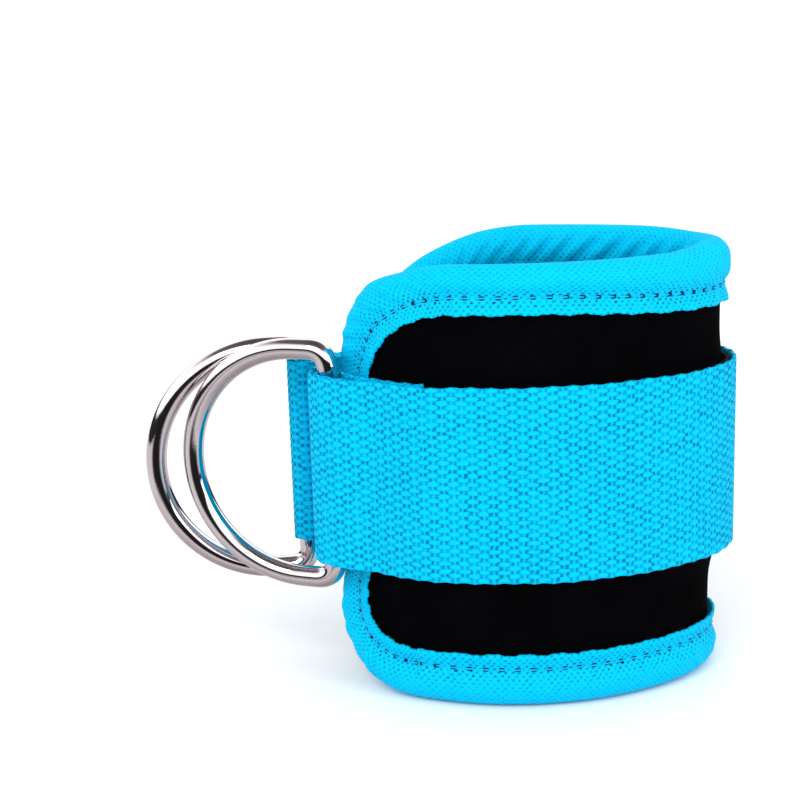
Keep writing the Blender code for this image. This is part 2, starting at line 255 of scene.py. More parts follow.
def webbing_material(name, shade=1.0):
    """Heavy webbing: lens-shaped floats in half-offset columns, with painted shade darkening the pinholes
    between them. The last argument, below 1, darkens the whole colour as painted shade for a fold in
    shadow.
    """
    made, shader, n = material(name, 0.62, 0.04)
    uv, along, across = n.tape_uv()
    wander = n.centred(n.noise(uv, 0.16), 0.9)
    jostle = n.centred(n.noise(uv, 0.62, 2.0, 0.6), 1.3)
    u = n.sum(along, wander, jostle)
    v = n.sum(across, n.times(wander, 0.35), n.times(jostle, 0.8))
    floats = n.floats(u, v, WEAVE_ALONG, WEAVE_ACROSS, FLOAT_HALF_LENGTH, FLOAT_HALF_WIDTH)
    stem = n.bump_of(n.wrap(u, WEAVE_ALONG / 2, WEAVE_ALONG / 4), STEM_HALF_WIDTH, 0.0, 1.0)
    height = n.math("MAXIMUM", floats, n.times(stem, STEM_HEIGHT))
    yarn = n.noise(n.stretched(uv, (1.1, 8.0, 1.0)), 1.0, 3.0, 0.6)
    worn = n.noise(uv, 0.05, 3.0)
    # Painted shade: the tone, and with it the colour, drops where the weave is low, in the gaps between
    # floats, by a randomly varying amount
    tight = n.spread(n.noise(uv, 0.3, 3.0, 0.7), 0.3, 0.7, 0.55, 1.1)
    lifted = n.math("MULTIPLY_ADD", n.minus(height, 1.0), tight, 1.0)
    tone = n.sum(lifted, n.centred(yarn, 0.7), n.centred(worn, 0.3))
    stops = ((0.02, GAP_SHADE_BLUE), (0.45, MIDDLE_BLUE), (0.98, BRIGHT_BLUE))
    # A shade below 1 darkens every ramp colour, as painted shade for a piece in shadow
    stops = [(place, tinted(colour, shade)) for place, colour in stops]
    n.plug(shader.inputs["Base Color"], n.ramp(tone, stops))
    n.plug(shader.inputs["Roughness"], n.spread(height, 0.0, 1.0, 0.85, 0.58))
    bump(n, shader, n.sum(height, n.times(yarn, 0.22)), 0.3, 0.5)
    return made


# The binding tape's repeat, half its row pitch, and the needle holes of its seam
BINDING_PITCH, BINDING_ROW = 1.7, 0.95
SEAM_U_PITCH = 3.9
HOLE_HALF_LENGTH, HOLE_HALF_WIDTH = 0.8, 0.6
# How far from the seam the painted shade of its deeper rib valleys reaches
SEAM_SHADE_REACH = 6.0


def binding_material(name):
    """Grosgrain tape: fine half-offset ribs with painted shade in the valleys between them, deeper near
    the seam, and needle holes along both rows of stitching, darkened as painted shade.
    """
    made, shader, n = material(name, 0.7, 0.04)
    uv, along, across = n.tape_uv()
    wander = n.centred(n.noise(uv, 0.2), 0.8)
    jostle = n.centred(n.noise(uv, 1.1, 2.0, 0.6), 1.5)
    u = n.sum(along, wander, jostle)
    v = n.sum(across, wander, n.times(jostle, 0.7))
    height = n.floats(u, v, BINDING_PITCH, 2 * BINDING_ROW, 0.36 * BINDING_PITCH, 0.85 * BINDING_ROW)
    yarn = n.noise(n.stretched(uv, (7.0, 1.6, 1.0)), 1.0, 3.0, 0.6)
    worn = n.noise(uv, 0.09, 3.0)
    from_seam = n.minus(n.math("ABSOLUTE", across), SEAM_V)
    # Painted shade: the valleys between ribs darken by a random amount, and more near the seam where the
    # tape is drawn in
    near_seam = n.spread(n.math("ABSOLUTE", from_seam), 0.0, SEAM_SHADE_REACH, 1.0, 0.0)
    tight = n.spread(n.noise(uv, 0.45, 3.0, 0.7), 0.3, 0.7, 0.5, 1.35)
    depth = n.times(n.math("MULTIPLY_ADD", near_seam, 0.5, 0.42), tight)
    ribs = n.minus(1.0, n.times(n.minus(1.0, height), depth))
    wrapped = n.wrap(along, SEAM_U_PITCH, SEAM_U_PITCH / 2)
    holes = n.bump_of(wrapped, HOLE_HALF_LENGTH, from_seam, HOLE_HALF_WIDTH)
    # The needle holes are darkened in the colour as painted shade, and sunk by the bump
    tone = n.minus(n.sum(ribs, n.centred(yarn, 0.30), n.centred(worn, 0.25)), n.times(holes, 1.1))
    stops = ((0.0, NEEDLE_HOLE_SHADE_BLUE), (0.16, GAP_SHADE_BLUE), (0.55, MIDDLE_BLUE), (0.95, BRIGHT_BLUE))
    n.plug(shader.inputs["Base Color"], n.ramp(tone, stops))
    n.plug(shader.inputs["Roughness"], n.spread(height, 0.0, 1.0, 0.88, 0.64))
    bump(n, shader, n.minus(n.sum(height, n.times(yarn, 0.3)), holes), 0.16, 0.8)
    return made


def knit_material(name, colour, stitch, depth, sheen):
    """Stretch knit bonded to neoprene: fine wales with a soft nap."""
    made, shader, n = material(name, 0.8, 0.015)
    place = n.add("ShaderNodeTexCoord").outputs["Object"]
    wales = n.add("ShaderNodeTexVoronoi", feature="F1", distance="EUCLIDEAN")
    n.plug(wales.inputs["Vector"], n.stretched(place, (1.0, 1.0, 0.62)))
    wales.inputs["Scale"].default_value = 1.0 / (stitch * MM)
    cloudy = n.noise(place, 55.0, 4.0, 0.6)
    lint = n.noise(place, 2600.0, 2.0, 0.6)
    low, high = tinted(colour, 0.45), tinted(colour, 1.75)
    tone = n.sum(n.times(cloudy, 0.6), n.times(lint, 0.4))
    n.plug(shader.inputs["Base Color"], n.ramp(tone, ((0.3, low), (0.5, colour), (0.72, high))))
    n.plug(shader.inputs["Roughness"], n.spread(tone, 0.3, 0.7, 0.9, 0.7))
    shader.inputs["Sheen Weight"].default_value = sheen
    shader.inputs["Sheen Roughness"].default_value = 0.45
    bump(n, shader, n.sum(wales.outputs["Distance"], n.times(lint, 0.5)), depth, 0.6)
    return made


def pile_material(name, colour, grain, depth):
    """Hook or loop tape: a dense pile of tangled dark filament."""
    made, shader, n = material(name, 0.8, 0.05)
    place = n.add("ShaderNodeTexCoord").outputs["Object"]
    pile = n.noise(place, 1.0 / (grain * MM), 4.0, 0.75)
    low, high = tinted(colour, 0.3), tinted(colour, 1.8)
    n.plug(shader.inputs["Base Color"], n.ramp(pile, ((0.3, low), (0.7, high))))
    n.plug(shader.inputs["Roughness"], n.spread(pile, 0.3, 0.7, 0.95, 0.6))
    bump(n, shader, pile, depth, 0.9)
    return made


FOAM_CELLS_PER_METRE = 1800.0


def foam_material(name):
    made, shader, n = material(name, 0.9, 0.1)
    place = n.add("ShaderNodeTexCoord").outputs["Object"]
    cells = n.add("ShaderNodeTexVoronoi", feature="F1")
    n.plug(cells.inputs["Vector"], place)
    cells.inputs["Scale"].default_value = FOAM_CELLS_PER_METRE
    stops = ((0.1, (0.02, 0.02, 0.022)), (0.7, (0.07, 0.07, 0.075)))
    n.plug(shader.inputs["Base Color"], n.ramp(cells.outputs["Distance"], stops))
    bump(n, shader, cells.outputs["Distance"], 0.2, 0.6)
    return made


def thread_material(name, colour):
    """Twisted polyester sewing thread, with painted shade darkening the grooves of its twist."""
    made, shader, n = material(name, 0.5, 0.25)
    _, along, across = n.tape_uv()
    twist = n.math("SINE", n.times(n.sum(along, n.times(across, 0.6)), 12.0))
    tone = n.math("MULTIPLY_ADD", twist, 0.5, 0.5)
    n.plug(shader.inputs["Base Color"], n.ramp(tone, ((0.1, tinted(colour, 0.55)), (0.8, colour))))
    n.plug(shader.inputs["Roughness"], n.spread(tone, 0.0, 1.0, 0.7, 0.45))
    bump(n, shader, tone, 0.05, 0.7)
    return made


CHROME_DULL, CHROME_BRIGHT = (0.62, 0.575, 0.59), (0.70, 0.655, 0.67)


def chrome_material(name):
    """Polished plated steel, with handling marks too fine to see one by one."""
    made, shader, n = material(name, 0.08, 0.5, 1.0)
    place = n.add("ShaderNodeTexCoord").outputs["Object"]
    cloudy = n.noise(place, 90.0, 4.0, 0.6)
    marks = n.noise(n.stretched(place, (1.0, 1.0, 0.2)), 1400.0, 3.0, 0.7)
    n.plug(shader.inputs["Base Color"], n.ramp(cloudy, ((0.3, CHROME_DULL), (0.7, CHROME_BRIGHT))))
    rough = n.sum(n.spread(cloudy, 0.35, 0.75, 0.035, 0.10), n.spread(marks, 0.55, 0.8, 0.0, 0.06))
    n.plug(shader.inputs["Roughness"], rough)
    bump(n, shader, n.sum(cloudy, n.times(marks, 0.04)), 0.12, 0.5)
    return made


# ---- the rolled pad's plan

PAD_PLAN = (
    (-41.2, 35.2), (-36.0, 24.4), (-28.0, 15.4), (-15.2, 8.5), (0.0, 5.8), (15.0, 6.6),
    (29.0, 10.4), (41.0, 16.2), (50.0, 24.0), (54.0, 33.0), (50.2, 42.4), (41.0, 50.2),
    (26.0, 57.0), (7.0, 61.2), (-12.0, 61.2), (-23.0, 58.9), (-31.2, 54.4), (-37.0, 48.2),
)
RUN_ON = 40.0
PLAN_STEPS = 24


def smooth_curve(knots, steps):
    """Points of a Catmull-Rom curve through the knots, the given number to each stretch."""
    knots = np.array(knots, float)
    line = np.vstack([2 * knots[0] - knots[1], knots, 2 * knots[-1] - knots[-2]])
    points = []
    for i in range(1, len(line) - 2):
        before, start, end, after = line[i - 1 : i + 3]
        bend = 2 * before - 5 * start + 4 * end - after
        twist = 3 * start - before - 3 * end + after
        for u in np.arange(steps) / steps:
            points.append(0.5 * (2 * start + (end - before) * u + bend * u**2 + twist * u**3))
    return np.array([*points, line[-2]])


def unit(vectors):
    return vectors / np.linalg.norm(vectors, axis=-1, keepdims=True)


def to_right(run):
    """A plan direction turned a quarter to the right."""
    return np.stack([run[..., 1], -run[..., 0]], -1)


class Plan:
    """The pad's middle line from above, by its own length; past either end it runs on straight."""

    def __init__(self, knots):
        points = smooth_curve(knots, PLAN_STEPS)
        reach = np.linalg.norm(np.diff(points, axis=0), axis=1)
        at = np.concatenate([[0.0], np.cumsum(reach)])
        self.length = at[-1]
        self.tip = at[points[:, 0].argmax()]
        first = points[0] - (points[1] - points[0]) / reach[0] * RUN_ON
        last = points[-1] + (points[-1] - points[-2]) / reach[-1] * RUN_ON
        self.at = np.concatenate([[-RUN_ON], at, [self.length + RUN_ON]])
        self.points = np.vstack([first, points, last])
        self.shift = np.zeros(2)

    def point(self, s):
        return np.stack([np.interp(s, self.at, self.points[:, k]) for k in (0, 1)], -1)

    def along(self, s):
        return unit(self.point(np.asarray(s) + 0.5) - self.point(np.asarray(s) - 0.5))

    def outwards(self, s):
        return to_right(self.along(s))

    def place(self, s, t):
        return self.point(s) + self.outwards(s) * np.asarray(t, float)[..., None] + self.shift


PLAN = Plan(PAD_PLAN)
PAD_HEIGHT = cad_box("edge_binding")[1][2]
BAND_LOW, BAND_HIGH = (corner[2] for corner in cad_box("tail_strap"))
BAND_MIDDLE = (BAND_LOW + BAND_HIGH) / 2

# The radius of the unrolled pad's corners
LOW_CORNER, TOP_CORNER = 30.0, 40.0
# Levels (t), thicknesses and places along the pad (s), the same as the CAD's
PAD_FACE = 2.6
BINDING_FACE = 3.8
OVER_BINDING, OFF_BINDING = 0.8, (15.0, 21.0)
WEB_THICKNESS = 1.1
LAYER_GAP = 0.2
LAYER = WEB_THICKNESS + LAYER_GAP
THREAD_ROOM = 0.65
WIRE_RADIUS = 2.8
BAR_REACH = WIRE_RADIUS + LAYER_GAP + WEB_THICKNESS / 2
LOOP_LENGTH, LOOP_FALL = 32.0, 15.0
NEAR_BAR_S, FAR_BAR_PAST_END = 6.5, 14.5
TAPE_THICKNESS = 1.0
LOOP_PATCH_START, HOOK_START_PAST_TIP = 35.0, 8.0
FREE_END_LENGTH, FREE_END_STOP, HEM_LENGTH = 28.0, 37.0, 11.0
LOOP_PATCH_TOP = PAD_FACE + LAYER_GAP + TAPE_THICKNESS
HOOK_LEVEL = LOOP_PATCH_TOP + THREAD_ROOM + TAPE_THICKNESS / 2
TAIL_ON_LOOP = LOOP_PATCH_TOP + THREAD_ROOM + WEB_THICKNESS / 2
TAIL_ON_HOOK = HOOK_LEVEL + TAPE_THICKNESS / 2 + LAYER_GAP + WEB_THICKNESS / 2
HOOK_START = PLAN.tip + HOOK_START_PAST_TIP
HINGE_S = PLAN.length - FREE_END_STOP - FREE_END_LENGTH


def smooth_step(value, low, high):
    share = np.clip((np.asarray(value, float) - low) / (high - low), 0.0, 1.0)
    return share * share * (3.0 - 2.0 * share)


def near_base(s):
    """The level that the webbing lies on: over the binding at the pad's end, then on the pad."""
    over = BINDING_FACE + OVER_BINDING
    return over + (PAD_FACE + LAYER_GAP - over) * smooth_step(s, *OFF_BINDING)


def far_base(s):
    return near_base(PLAN.length - np.asarray(s))


def near_bar():
    """The near ring's bar from above, the middle of the wire."""
    return PLAN.place(NEAR_BAR_S, near_base(0.0) + WEB_THICKNESS / 2 + BAR_REACH)


def far_bar():
    level = far_base(PLAN.length) + LAYER + WEB_THICKNESS / 2 + BAR_REACH
    return PLAN.place(PLAN.length + FAR_BAR_PAST_END, level)


# The rolled sheet stands where its near ring turns on the recorded joint
JOINTS = {joint["name"]: joint for joint in frame["record"]["behaviour"]["joints"]}
PLAN.shift = np.array(JOINTS["near_ring_swing"]["pos_m"][:2]) / MM - near_bar()


def tail_level(s):
    """The strap's level: over the near ring, over the near loop, on the loop tape, on the hook tape."""
    over_loop = near_base(s) + 2 * LAYER + THREAD_ROOM - LAYER_GAP + WEB_THICKNESS / 2
    over_ring = near_base(0.0) + WEB_THICKNESS / 2 + 2 * BAR_REACH + LAYER
    level = over_ring + (over_loop - over_ring) * smooth_step(s, NEAR_BAR_S, NEAR_BAR_S + LOOP_FALL)
    level = level + (TAIL_ON_LOOP - level) * smooth_step(s, LOOP_LENGTH + 2.0, LOOP_LENGTH + 9.0)
    return level + (TAIL_ON_HOOK - TAIL_ON_LOOP) * smooth_step(s, HOOK_START - 9.0, HOOK_START - 3.0)


# How the pad leaves its even roll outside the strap's grip: its right end is drawn in, the free
# corners of its near end stand off, and its rims and upper seam lie higher or lower
TOP_DRAWN_IN, BOTTOM_DRAWN_IN = 1.2, 3.2
TOP_FLARE, BOTTOM_FLARE = 1.0, 3.2
FLARE_LEFT, FLARE_NEAR = 0.92, 0.3
NEAR_RIM_DROP, FAR_RIM_RISE, FAR_END_DROP = 1.6, 0.8, 2.6
NEAR_SEAM_RISE, RIGHT_SEAM_DROP = 1.1, 1.3
SLACK_MIDDLE = PLAN.shift + np.array([2.0, 33.0])


def slackened(points):
    """Moves points, given as (..., 3), from the even roll to the pad's slack shape."""
    x, y, z = (points[..., k] for k in range(3))
    middle_x, middle_y = SLACK_MIDDLE
    below_band = smooth_step(BAND_LOW + 6.0 - z, 0.0, 16.0)
    above_band = smooth_step(z - BAND_HIGH + 6.0, 0.0, 14.0)
    right = smooth_step(x, middle_x, middle_x + 52.0)
    left = smooth_step(middle_x - 18.0 - x, 0.0, 24.0) * smooth_step(middle_y + 11.0 - y, 0.0, 6.0)
    near = smooth_step(middle_y - y, 4.0, 18.0)
    far = smooth_step(y - middle_y, 8.0, 20.0)
    flare = left * (
        BOTTOM_FLARE * smooth_step(BAND_LOW + 1.0 - z, 0.0, 20.0)
        + TOP_FLARE * smooth_step(z - BAND_HIGH - 1.0, 0.0, 14.0)
    )
    moved = points.copy()
    drawn_in = BOTTOM_DRAWN_IN * below_band + TOP_DRAWN_IN * above_band
    moved[..., 0] -= right * drawn_in + FLARE_LEFT * flare
    moved[..., 1] -= FLARE_NEAR * flare
    rim = smooth_step(z, BAND_HIGH + 4.0, PAD_HEIGHT - 3.0)
    far_end = smooth_step(middle_x + 7.0 - x, 0.0, 27.0)
    moved[..., 2] += rim * far * (FAR_RIM_RISE - FAR_END_DROP * far_end)
    at_seam = smooth_step(z, BAND_HIGH + 2.0, BAND_HIGH + 14.0)
    at_rim = smooth_step(z, PAD_HEIGHT - 10.0, PAD_HEIGHT - 1.0)
    rise = NEAR_SEAM_RISE * (1.0 - right)
    moved[..., 2] += near * (rise * (at_seam - at_rim) - NEAR_RIM_DROP * at_rim)
    moved[..., 2] -= RIGHT_SEAM_DROP * right * at_seam * (1.0 - at_rim)
    return moved


# ---- meshes


def make_object(name, points, faces, look, uv=None):
    """A mesh from points in millimetres; uv holds one (along, across) pair for each face corner."""
    mesh = bpy.data.meshes.new(name)
    mesh.from_pydata(np.asarray(points, float).reshape(-1, 3) * MM, [], faces)
    if uv is not None:
        layer = mesh.uv_layers.new(name=TAPE_MAP)
        layer.data.foreach_set("uv", np.asarray(uv, np.float32).ravel())
    mesh.materials.append(look)
    mesh.shade_smooth()
    mesh.update()
    made = bpy.data.objects.new(name, mesh)
    bpy.context.scene.collection.objects.link(made)
    return made


def swept(name, grid, along, across, total, look, closed=False):
    """Skins a grid of cross-section rings. along is one number a row, across one a section point."""
    rows, width = grid.shape[:2]
    faces, uv = [], []
    last = rows if closed else rows - 1
    for i in range(last):
        j = (i + 1) % rows
        u0, u1 = along[i], along[i + 1]
        for k in range(width):
            m = (k + 1) % width
            v0, v1 = across[k], across[m] if m else total
            faces.append((i * width + k, i * width + m, j * width + m, j * width + k))
            uv += [(u0, v0), (u0, v1), (u1, v1), (u1, v0)]
    if not closed:
        faces.append(tuple(reversed(range(width))))
        uv += [(along[0], across[k]) for k in reversed(range(width))]
        start = (rows - 1) * width
        faces.append(tuple(range(start, start + width)))
        uv += [(along[-1], across[k]) for k in range(width)]
    return make_object(name, grid, faces, look, uv)


def lengths_of(path):
    return np.concatenate([[0.0], np.cumsum(np.linalg.norm(np.diff(path, axis=0), axis=1))])


# The softening kernel's spacing, and its reach in multiples of the soften length
SOFTEN_STEP, SOFTEN_REACH = 0.25, 2.5


def evenly(path, step, soften=0.0):
    """The path again with points an even step apart, its kinks rounded over the soften length."""
    path = np.asarray(path, float)
    if soften:
        fine = evenly(path, SOFTEN_STEP)
        reach = max(1, round(SOFTEN_REACH * soften / SOFTEN_STEP))
        kernel = np.exp(-0.5 * (np.arange(-reach, reach + 1) * SOFTEN_STEP / soften) ** 2)
        kernel /= kernel.sum()
        run_in = 2 * fine[0] - fine[reach:0:-1]
        run_out = 2 * fine[-1] - fine[-2 : -reach - 2 : -1]
        padded = np.vstack([run_in, fine, run_out])
        path = np.stack([np.convolve(padded[:, k], kernel, "valid") for k in range(path.shape[1])], -1)
    at = lengths_of(path)
    count = max(2, round(at[-1] / step) + 1)
    new = np.linspace(0.0, at[-1], count)
    return np.stack([np.interp(new, at, path[:, k]) for k in range(path.shape[1])], -1)


def wrap(value, period, shift=0.0):
    return np.mod(value + shift + WRAP_REPEATS * period, period) - period / 2


def oval(a, wide, b, high):
    left = 1.0 - np.abs(a / wide) ** OVAL_POWERS[0] - np.abs(b / high) ** OVAL_POWERS[1]
    return np.sqrt(np.clip(left, 0.0, 1.0))


def weave_height(u, v):
    """The same weave as webbing_material's, as a height from 0 to 1."""
    floats = [
        oval(
            wrap(u, WEAVE_ALONG, shift * WEAVE_ALONG),
            FLOAT_HALF_LENGTH,
            wrap(v, WEAVE_ACROSS, shift * WEAVE_ACROSS),
            FLOAT_HALF_WIDTH,
        )
        for shift in (0.0, 0.5)
    ]
    stem = oval(wrap(u, WEAVE_ALONG / 2, WEAVE_ALONG / 4), STEM_HALF_WIDTH, 0.0, 1.0)
    return np.maximum(np.maximum(*floats), STEM_HEIGHT * stem)


WEAVE_RELIEF = 0.2
# The weave height that lies level with the webbing's nominal face
WEAVE_DATUM = 0.75
EDGE_ROUND = 0.4
EDGE_STEP = 0.2
EDGE_WAVE, EDGE_DRIFT, DRIFT_LENGTH = 0.16, 0.1, 23.0
# Webbing rounds its kinks over this length
WEB_STIFFNESS = 0.9
ACROSS_STEP = 0.36


def webbing(name, path, look, side=1.0, step=0.62):
    """Webbing that stands on edge along a plan path; side is which side of the path faces out."""
    path = evenly(path, step, soften=WEB_STIFFNESS)
    out = side * to_right(unit(np.gradient(path, axis=0)))
    u = lengths_of(path)
    width = BAND_HIGH - BAND_LOW
    outer = np.linspace(EDGE_ROUND, width - EDGE_ROUND, round(width / ACROSS_STEP))
    inner = np.linspace(width - EDGE_ROUND, EDGE_ROUND, round(width / (2.4 * ACROSS_STEP)))
    half = WEB_THICKNESS / 2
    turns = np.radians([60.0, 30.0, 0.0, -30.0, -60.0])
    top = [(half * math.sin(a), width - EDGE_ROUND + EDGE_ROUND * math.cos(a)) for a in turns]
    bottom = [(-half * math.sin(a), EDGE_ROUND - EDGE_ROUND * math.cos(a)) for a in turns]
    section = np.array([(half, v) for v in outer] + top + [(-half, v) for v in inner] + bottom)
    edge = np.arange(len(turns)) * EDGE_STEP
    half_round = 2 * width + 1.0
    across = np.concatenate([outer, width + edge, half_round - inner, half_round + edge])
    uu, vv = np.meshgrid(u, section[:, 1], indexing="ij")
    to_edge = np.minimum(vv, width - vv)
    fade = smooth_step(to_edge, 0.4, 2.0)
    face = np.broadcast_to(np.abs(section[:, 0]) > half - 1e-6, uu.shape)
    relief = np.where(face, (weave_height(uu, vv) - WEAVE_DATUM) * WEAVE_RELIEF * fade, 0.0)
    level = section[:, 0][None, :] + np.sign(section[:, 0])[None, :] * relief
    away = np.clip(1.0 - to_edge / 3.0, 0.0, 1.0)
    picks = EDGE_WAVE * (np.cos(2 * math.pi * uu / WEAVE_ALONG) - 0.5)
    scallop = picks + EDGE_DRIFT * np.sin(2 * math.pi * uu / DRIFT_LENGTH + BAND_LOW)
    grid = np.empty((*uu.shape, 3))
    grid[..., :2] = path[:, None, :] + out[:, None, :] * level[..., None]
    grid[..., 2] = BAND_LOW + vv + np.where(vv > width / 2, 1.0, -1.0) * away * scallop
    if side < 0:
        grid = grid[:, ::-1]
        across = across[::-1]
    total = across[0] + (2 * width + 2.0) * side
    return swept(name, grid, u, across, total, look)


def on_pad(s, level):
    s = np.asarray(s, float)
    t = level(s) if callable(level) else np.full(s.shape, float(level))
    return PLAN.place(s, t)


BEND_STEPS = 24


def bend_radius(radius):
    """The radius to draw so that webbing() leaves the bend at this radius after softening it."""
    return radius + WEB_STIFFNESS**2 / (2 * radius)


def arc(centre, radius, start, end, steps):
    angles = np.radians(np.linspace(start, end, steps + 1)[1:-1])
    return np.stack([centre[0] + radius * np.cos(angles), centre[1] + radius * np.sin(angles)], -1)


def bearing(direction):
    return math.degrees(math.atan2(direction[1], direction[0]))


def span(start, end, step=0.5):
    return np.linspace(start, end, max(2, round(abs(end - start) / step) + 1))


def circles(centres, first, second, radius, sides):
    """A circle of points round each centre, in the plane of its two directions."""
    angles = np.linspace(0, 2 * math.pi, sides, endpoint=False)
    turned = np.cos(angles)[None, :, None] * first[:, None, :]
    turned = turned + np.sin(angles)[None, :, None] * second[:, None, :]
    return centres[:, None, :] + radius * turned, angles


def closed_tube(points, normals, radius, sides, name, look):
    """A ring of round wire; normals and radius hold one direction across and radius a point."""
    run = unit(np.roll(points, -1, 0) - np.roll(points, 1, 0))
    normals = unit(normals - (normals * run).sum(1, keepdims=True) * run)
    grid, angles = circles(points, normals, np.cross(run, normals), radius[:, None, None], sides)
    along = lengths_of(np.vstack([points, points[:1]]))
    across = angles * radius.mean()
    return swept(name, grid, along, across, 2 * math.pi * radius.mean(), look, closed=True)


# ---- stitches

STITCH_SIDES = 6
THREAD_UV_STEP = 0.2
# Stitches of the sewn boxes: how far apart, how long and how thick
BOX_STITCH = (3.2, 2.6, 0.22)
# A stitch from end to end: (share of its length, height in thread radii)
STITCH_PROFILE = (
    (0.0, -0.55), (0.10, -0.05), (0.25, 0.75), (0.5, 1.0), (0.75, 0.75), (0.90, -0.05), (1.0, -0.55),
)


def stitches(name, centres, normals, look, pitch, length, radius, closed=False):
    """A row of separate lockstitches along a line on a surface, each dipping in at both ends."""
    centres = np.asarray(centres, float)
    if closed:
        centres = np.vstack([centres, centres[:1]])
        normals = np.vstack([normals, normals[:1]])
    at = lengths_of(centres)
    count = max(1, int(at[-1] // pitch))
    spacing = at[-1] / count
    points, faces, uv = [], [], []
    n = STITCH_SIDES
    shares, lifts = np.array(STITCH_PROFILE).T
    for index in range(count):
        begin = (index + 0.5) * spacing - length / 2
        where = begin + shares * length
        place = np.stack([np.interp(where, at, centres[:, k]) for k in range(3)], -1)
        up = unit(np.stack([np.interp(where, at, normals[:, k]) for k in range(3)], -1))
        place = place + up * (lifts * radius)[:, None]
        run = unit(np.gradient(place, axis=0))
        side = unit(np.cross(run, up))
        rounds, _ = circles(place, side, np.cross(side, run), radius, n)
        base = len(points)
        points.extend(rounds.reshape(-1, 3))
        for i in range(len(shares) - 1):
            first, second = base + i * n, base + (i + 1) * n
            u0, u1 = where[i], where[i + 1]
            for k in range(n):
                m = (k + 1) % n
                faces.append((first + k, first + m, second + m, second + k))
                v0, v1 = k * THREAD_UV_STEP, (k + 1) * THREAD_UV_STEP
                uv += [(u0, v0), (u0, v1), (u1, v1), (u1, v0)]
        faces.append(tuple(base + k for k in reversed(range(n))))
        end = base + (len(shares) - 1) * n
        faces.append(tuple(end + k for k in range(n)))
        uv += [(0.0, 0.0)] * (2 * n)
    return make_object(name, points, faces, look, uv)


def box_line(s_low, s_high, z_low, z_high, level, step=1.0):
    """(points, normals) round a rectangle on the surface at the given level."""
    run_s = span(s_low, s_high, step)
    run_z = span(z_low, z_high, step)
    s = np.concatenate([run_s, np.full(len(run_z), s_high), run_s[::-1], np.full(len(run_z), s_low)])
    z = np.concatenate([np.full(len(run_s), z_low), run_z, np.full(len(run_s), z_high), run_z[::-1]])
    t = level(s) if callable(level) else np.full(s.shape, float(level))
    points = np.column_stack([PLAN.place(s, t), z])
    out = PLAN.outwards(s) * (1.0 if t[0] > 0 else -1.0)
    return points, np.column_stack([out, np.zeros(len(s))])


# ---- binding

SEAM_DEPTH = 10.5
BINDING_DEPTH = 14.5
TAPE_WALL = 0.75
# The tape's outer face from its inner edge to the fold: (depth in from the pad's edge, level)
OUTER_FACE = (
    (14.6, 4.35), (13.6, 4.25), (12.4, 3.85), (11.3, 3.45), (10.5, 3.3), (9.6, 3.5), (8.4, 4.15),
    (6.8, 4.6), (5.0, 4.62), (3.3, 4.2), (1.9, 3.4), (0.85, 2.35), (0.25, 1.15), (0.05, 0.0),
)
SECTION_STEPS, SECTION_POINTS = 12, 30
# How far the outer face stands off under the strap
FLAT_FACE = 3.75
OUTLINE_STEP = 0.85
# Length and thickness of the seam's stitches
SEAM_STITCH = (2.9, 0.2)
# Pitches along the tape of its gathers inside, and of the finer pucker and the flare outside
GATHER_PITCH, PUCKER_PITCH, FLARE_PITCH = 6.6, 4.1, 7.3
GATHER_HEIGHT, GATHER_DEPTH, GATHER_SPREAD = 0.85, 6.2, 3.6
CORNER_FOLD_HEIGHT, PUCKER_HEIGHT = 0.34, 0.10
INNER_FLARE, OUTER_FLARE = 0.28, 0.16
INNER_PULL, OUTER_PULL, PULL_SPREAD = 0.10, 0.12, 1.6


def outline(step):
    """(s, z, inward s, inward z) round the pad's edge at an even step, and the length so far."""
    length, height = PLAN.length, PAD_HEIGHT
    base, top = LOW_CORNER, TOP_CORNER

    def corner(s_mid, z_mid, start, radius):
        steps = round(radius * math.pi / 2 / step)
        angles = np.radians(np.linspace(start, start + 90.0, steps + 1))[:-1]
        out_s, out_z = np.cos(angles), np.sin(angles)
        return np.column_stack([s_mid + radius * out_s, z_mid + radius * out_z, -out_s, -out_z])

    def straight(s0, z0, s1, z1, in_s, in_z):
        reach = math.hypot(s1 - s0, z1 - z0)
        share = np.linspace(0, 1, round(reach / step) + 1)[:-1, None]
        place = np.array([s0, z0]) + share * np.array([s1 - s0, z1 - z0])
        return np.column_stack([place, np.full(len(share), in_s), np.full(len(share), in_z)])

    rows = np.vstack(
        [
            straight(base, 0.0, length - base, 0.0, 0.0, 1.0),
            corner(length - base, base, -90.0, base),
            straight(length, base, length, height - top, -1.0, 0.0),
            corner(length - top, height - top, 0.0, top),
            straight(length - top, height, top, height, 0.0, -1.0),
            corner(top, height - top, 90.0, top),
            straight(0.0, height - top, 0.0, base, 1.0, 0.0),
            corner(base, base, 180.0, base),
        ]
    )
    xy = PLAN.place(rows[:, 0], np.zeros(len(rows)))
    return rows, lengths_of(np.column_stack([xy, rows[:, 1]]))


def spline_row(knots, count):
    """count points at an even spacing along a smooth curve through the knots, and its length."""
    points = smooth_curve(knots, SECTION_STEPS)
    at = lengths_of(points)
    new = np.linspace(0, at[-1], count)
    return np.stack([np.interp(new, at, points[:, k]) for k in (0, 1)], -1), at[-1]


HALF_SECTION, HALF_WIDTH = spline_row(OUTER_FACE, SECTION_POINTS)
ACROSS_HALF = np.linspace(HALF_WIDTH, 0.0, SECTION_POINTS)
SEAM_V = float(np.interp(-SEAM_DEPTH, -HALF_SECTION[:, 0], ACROSS_HALF))


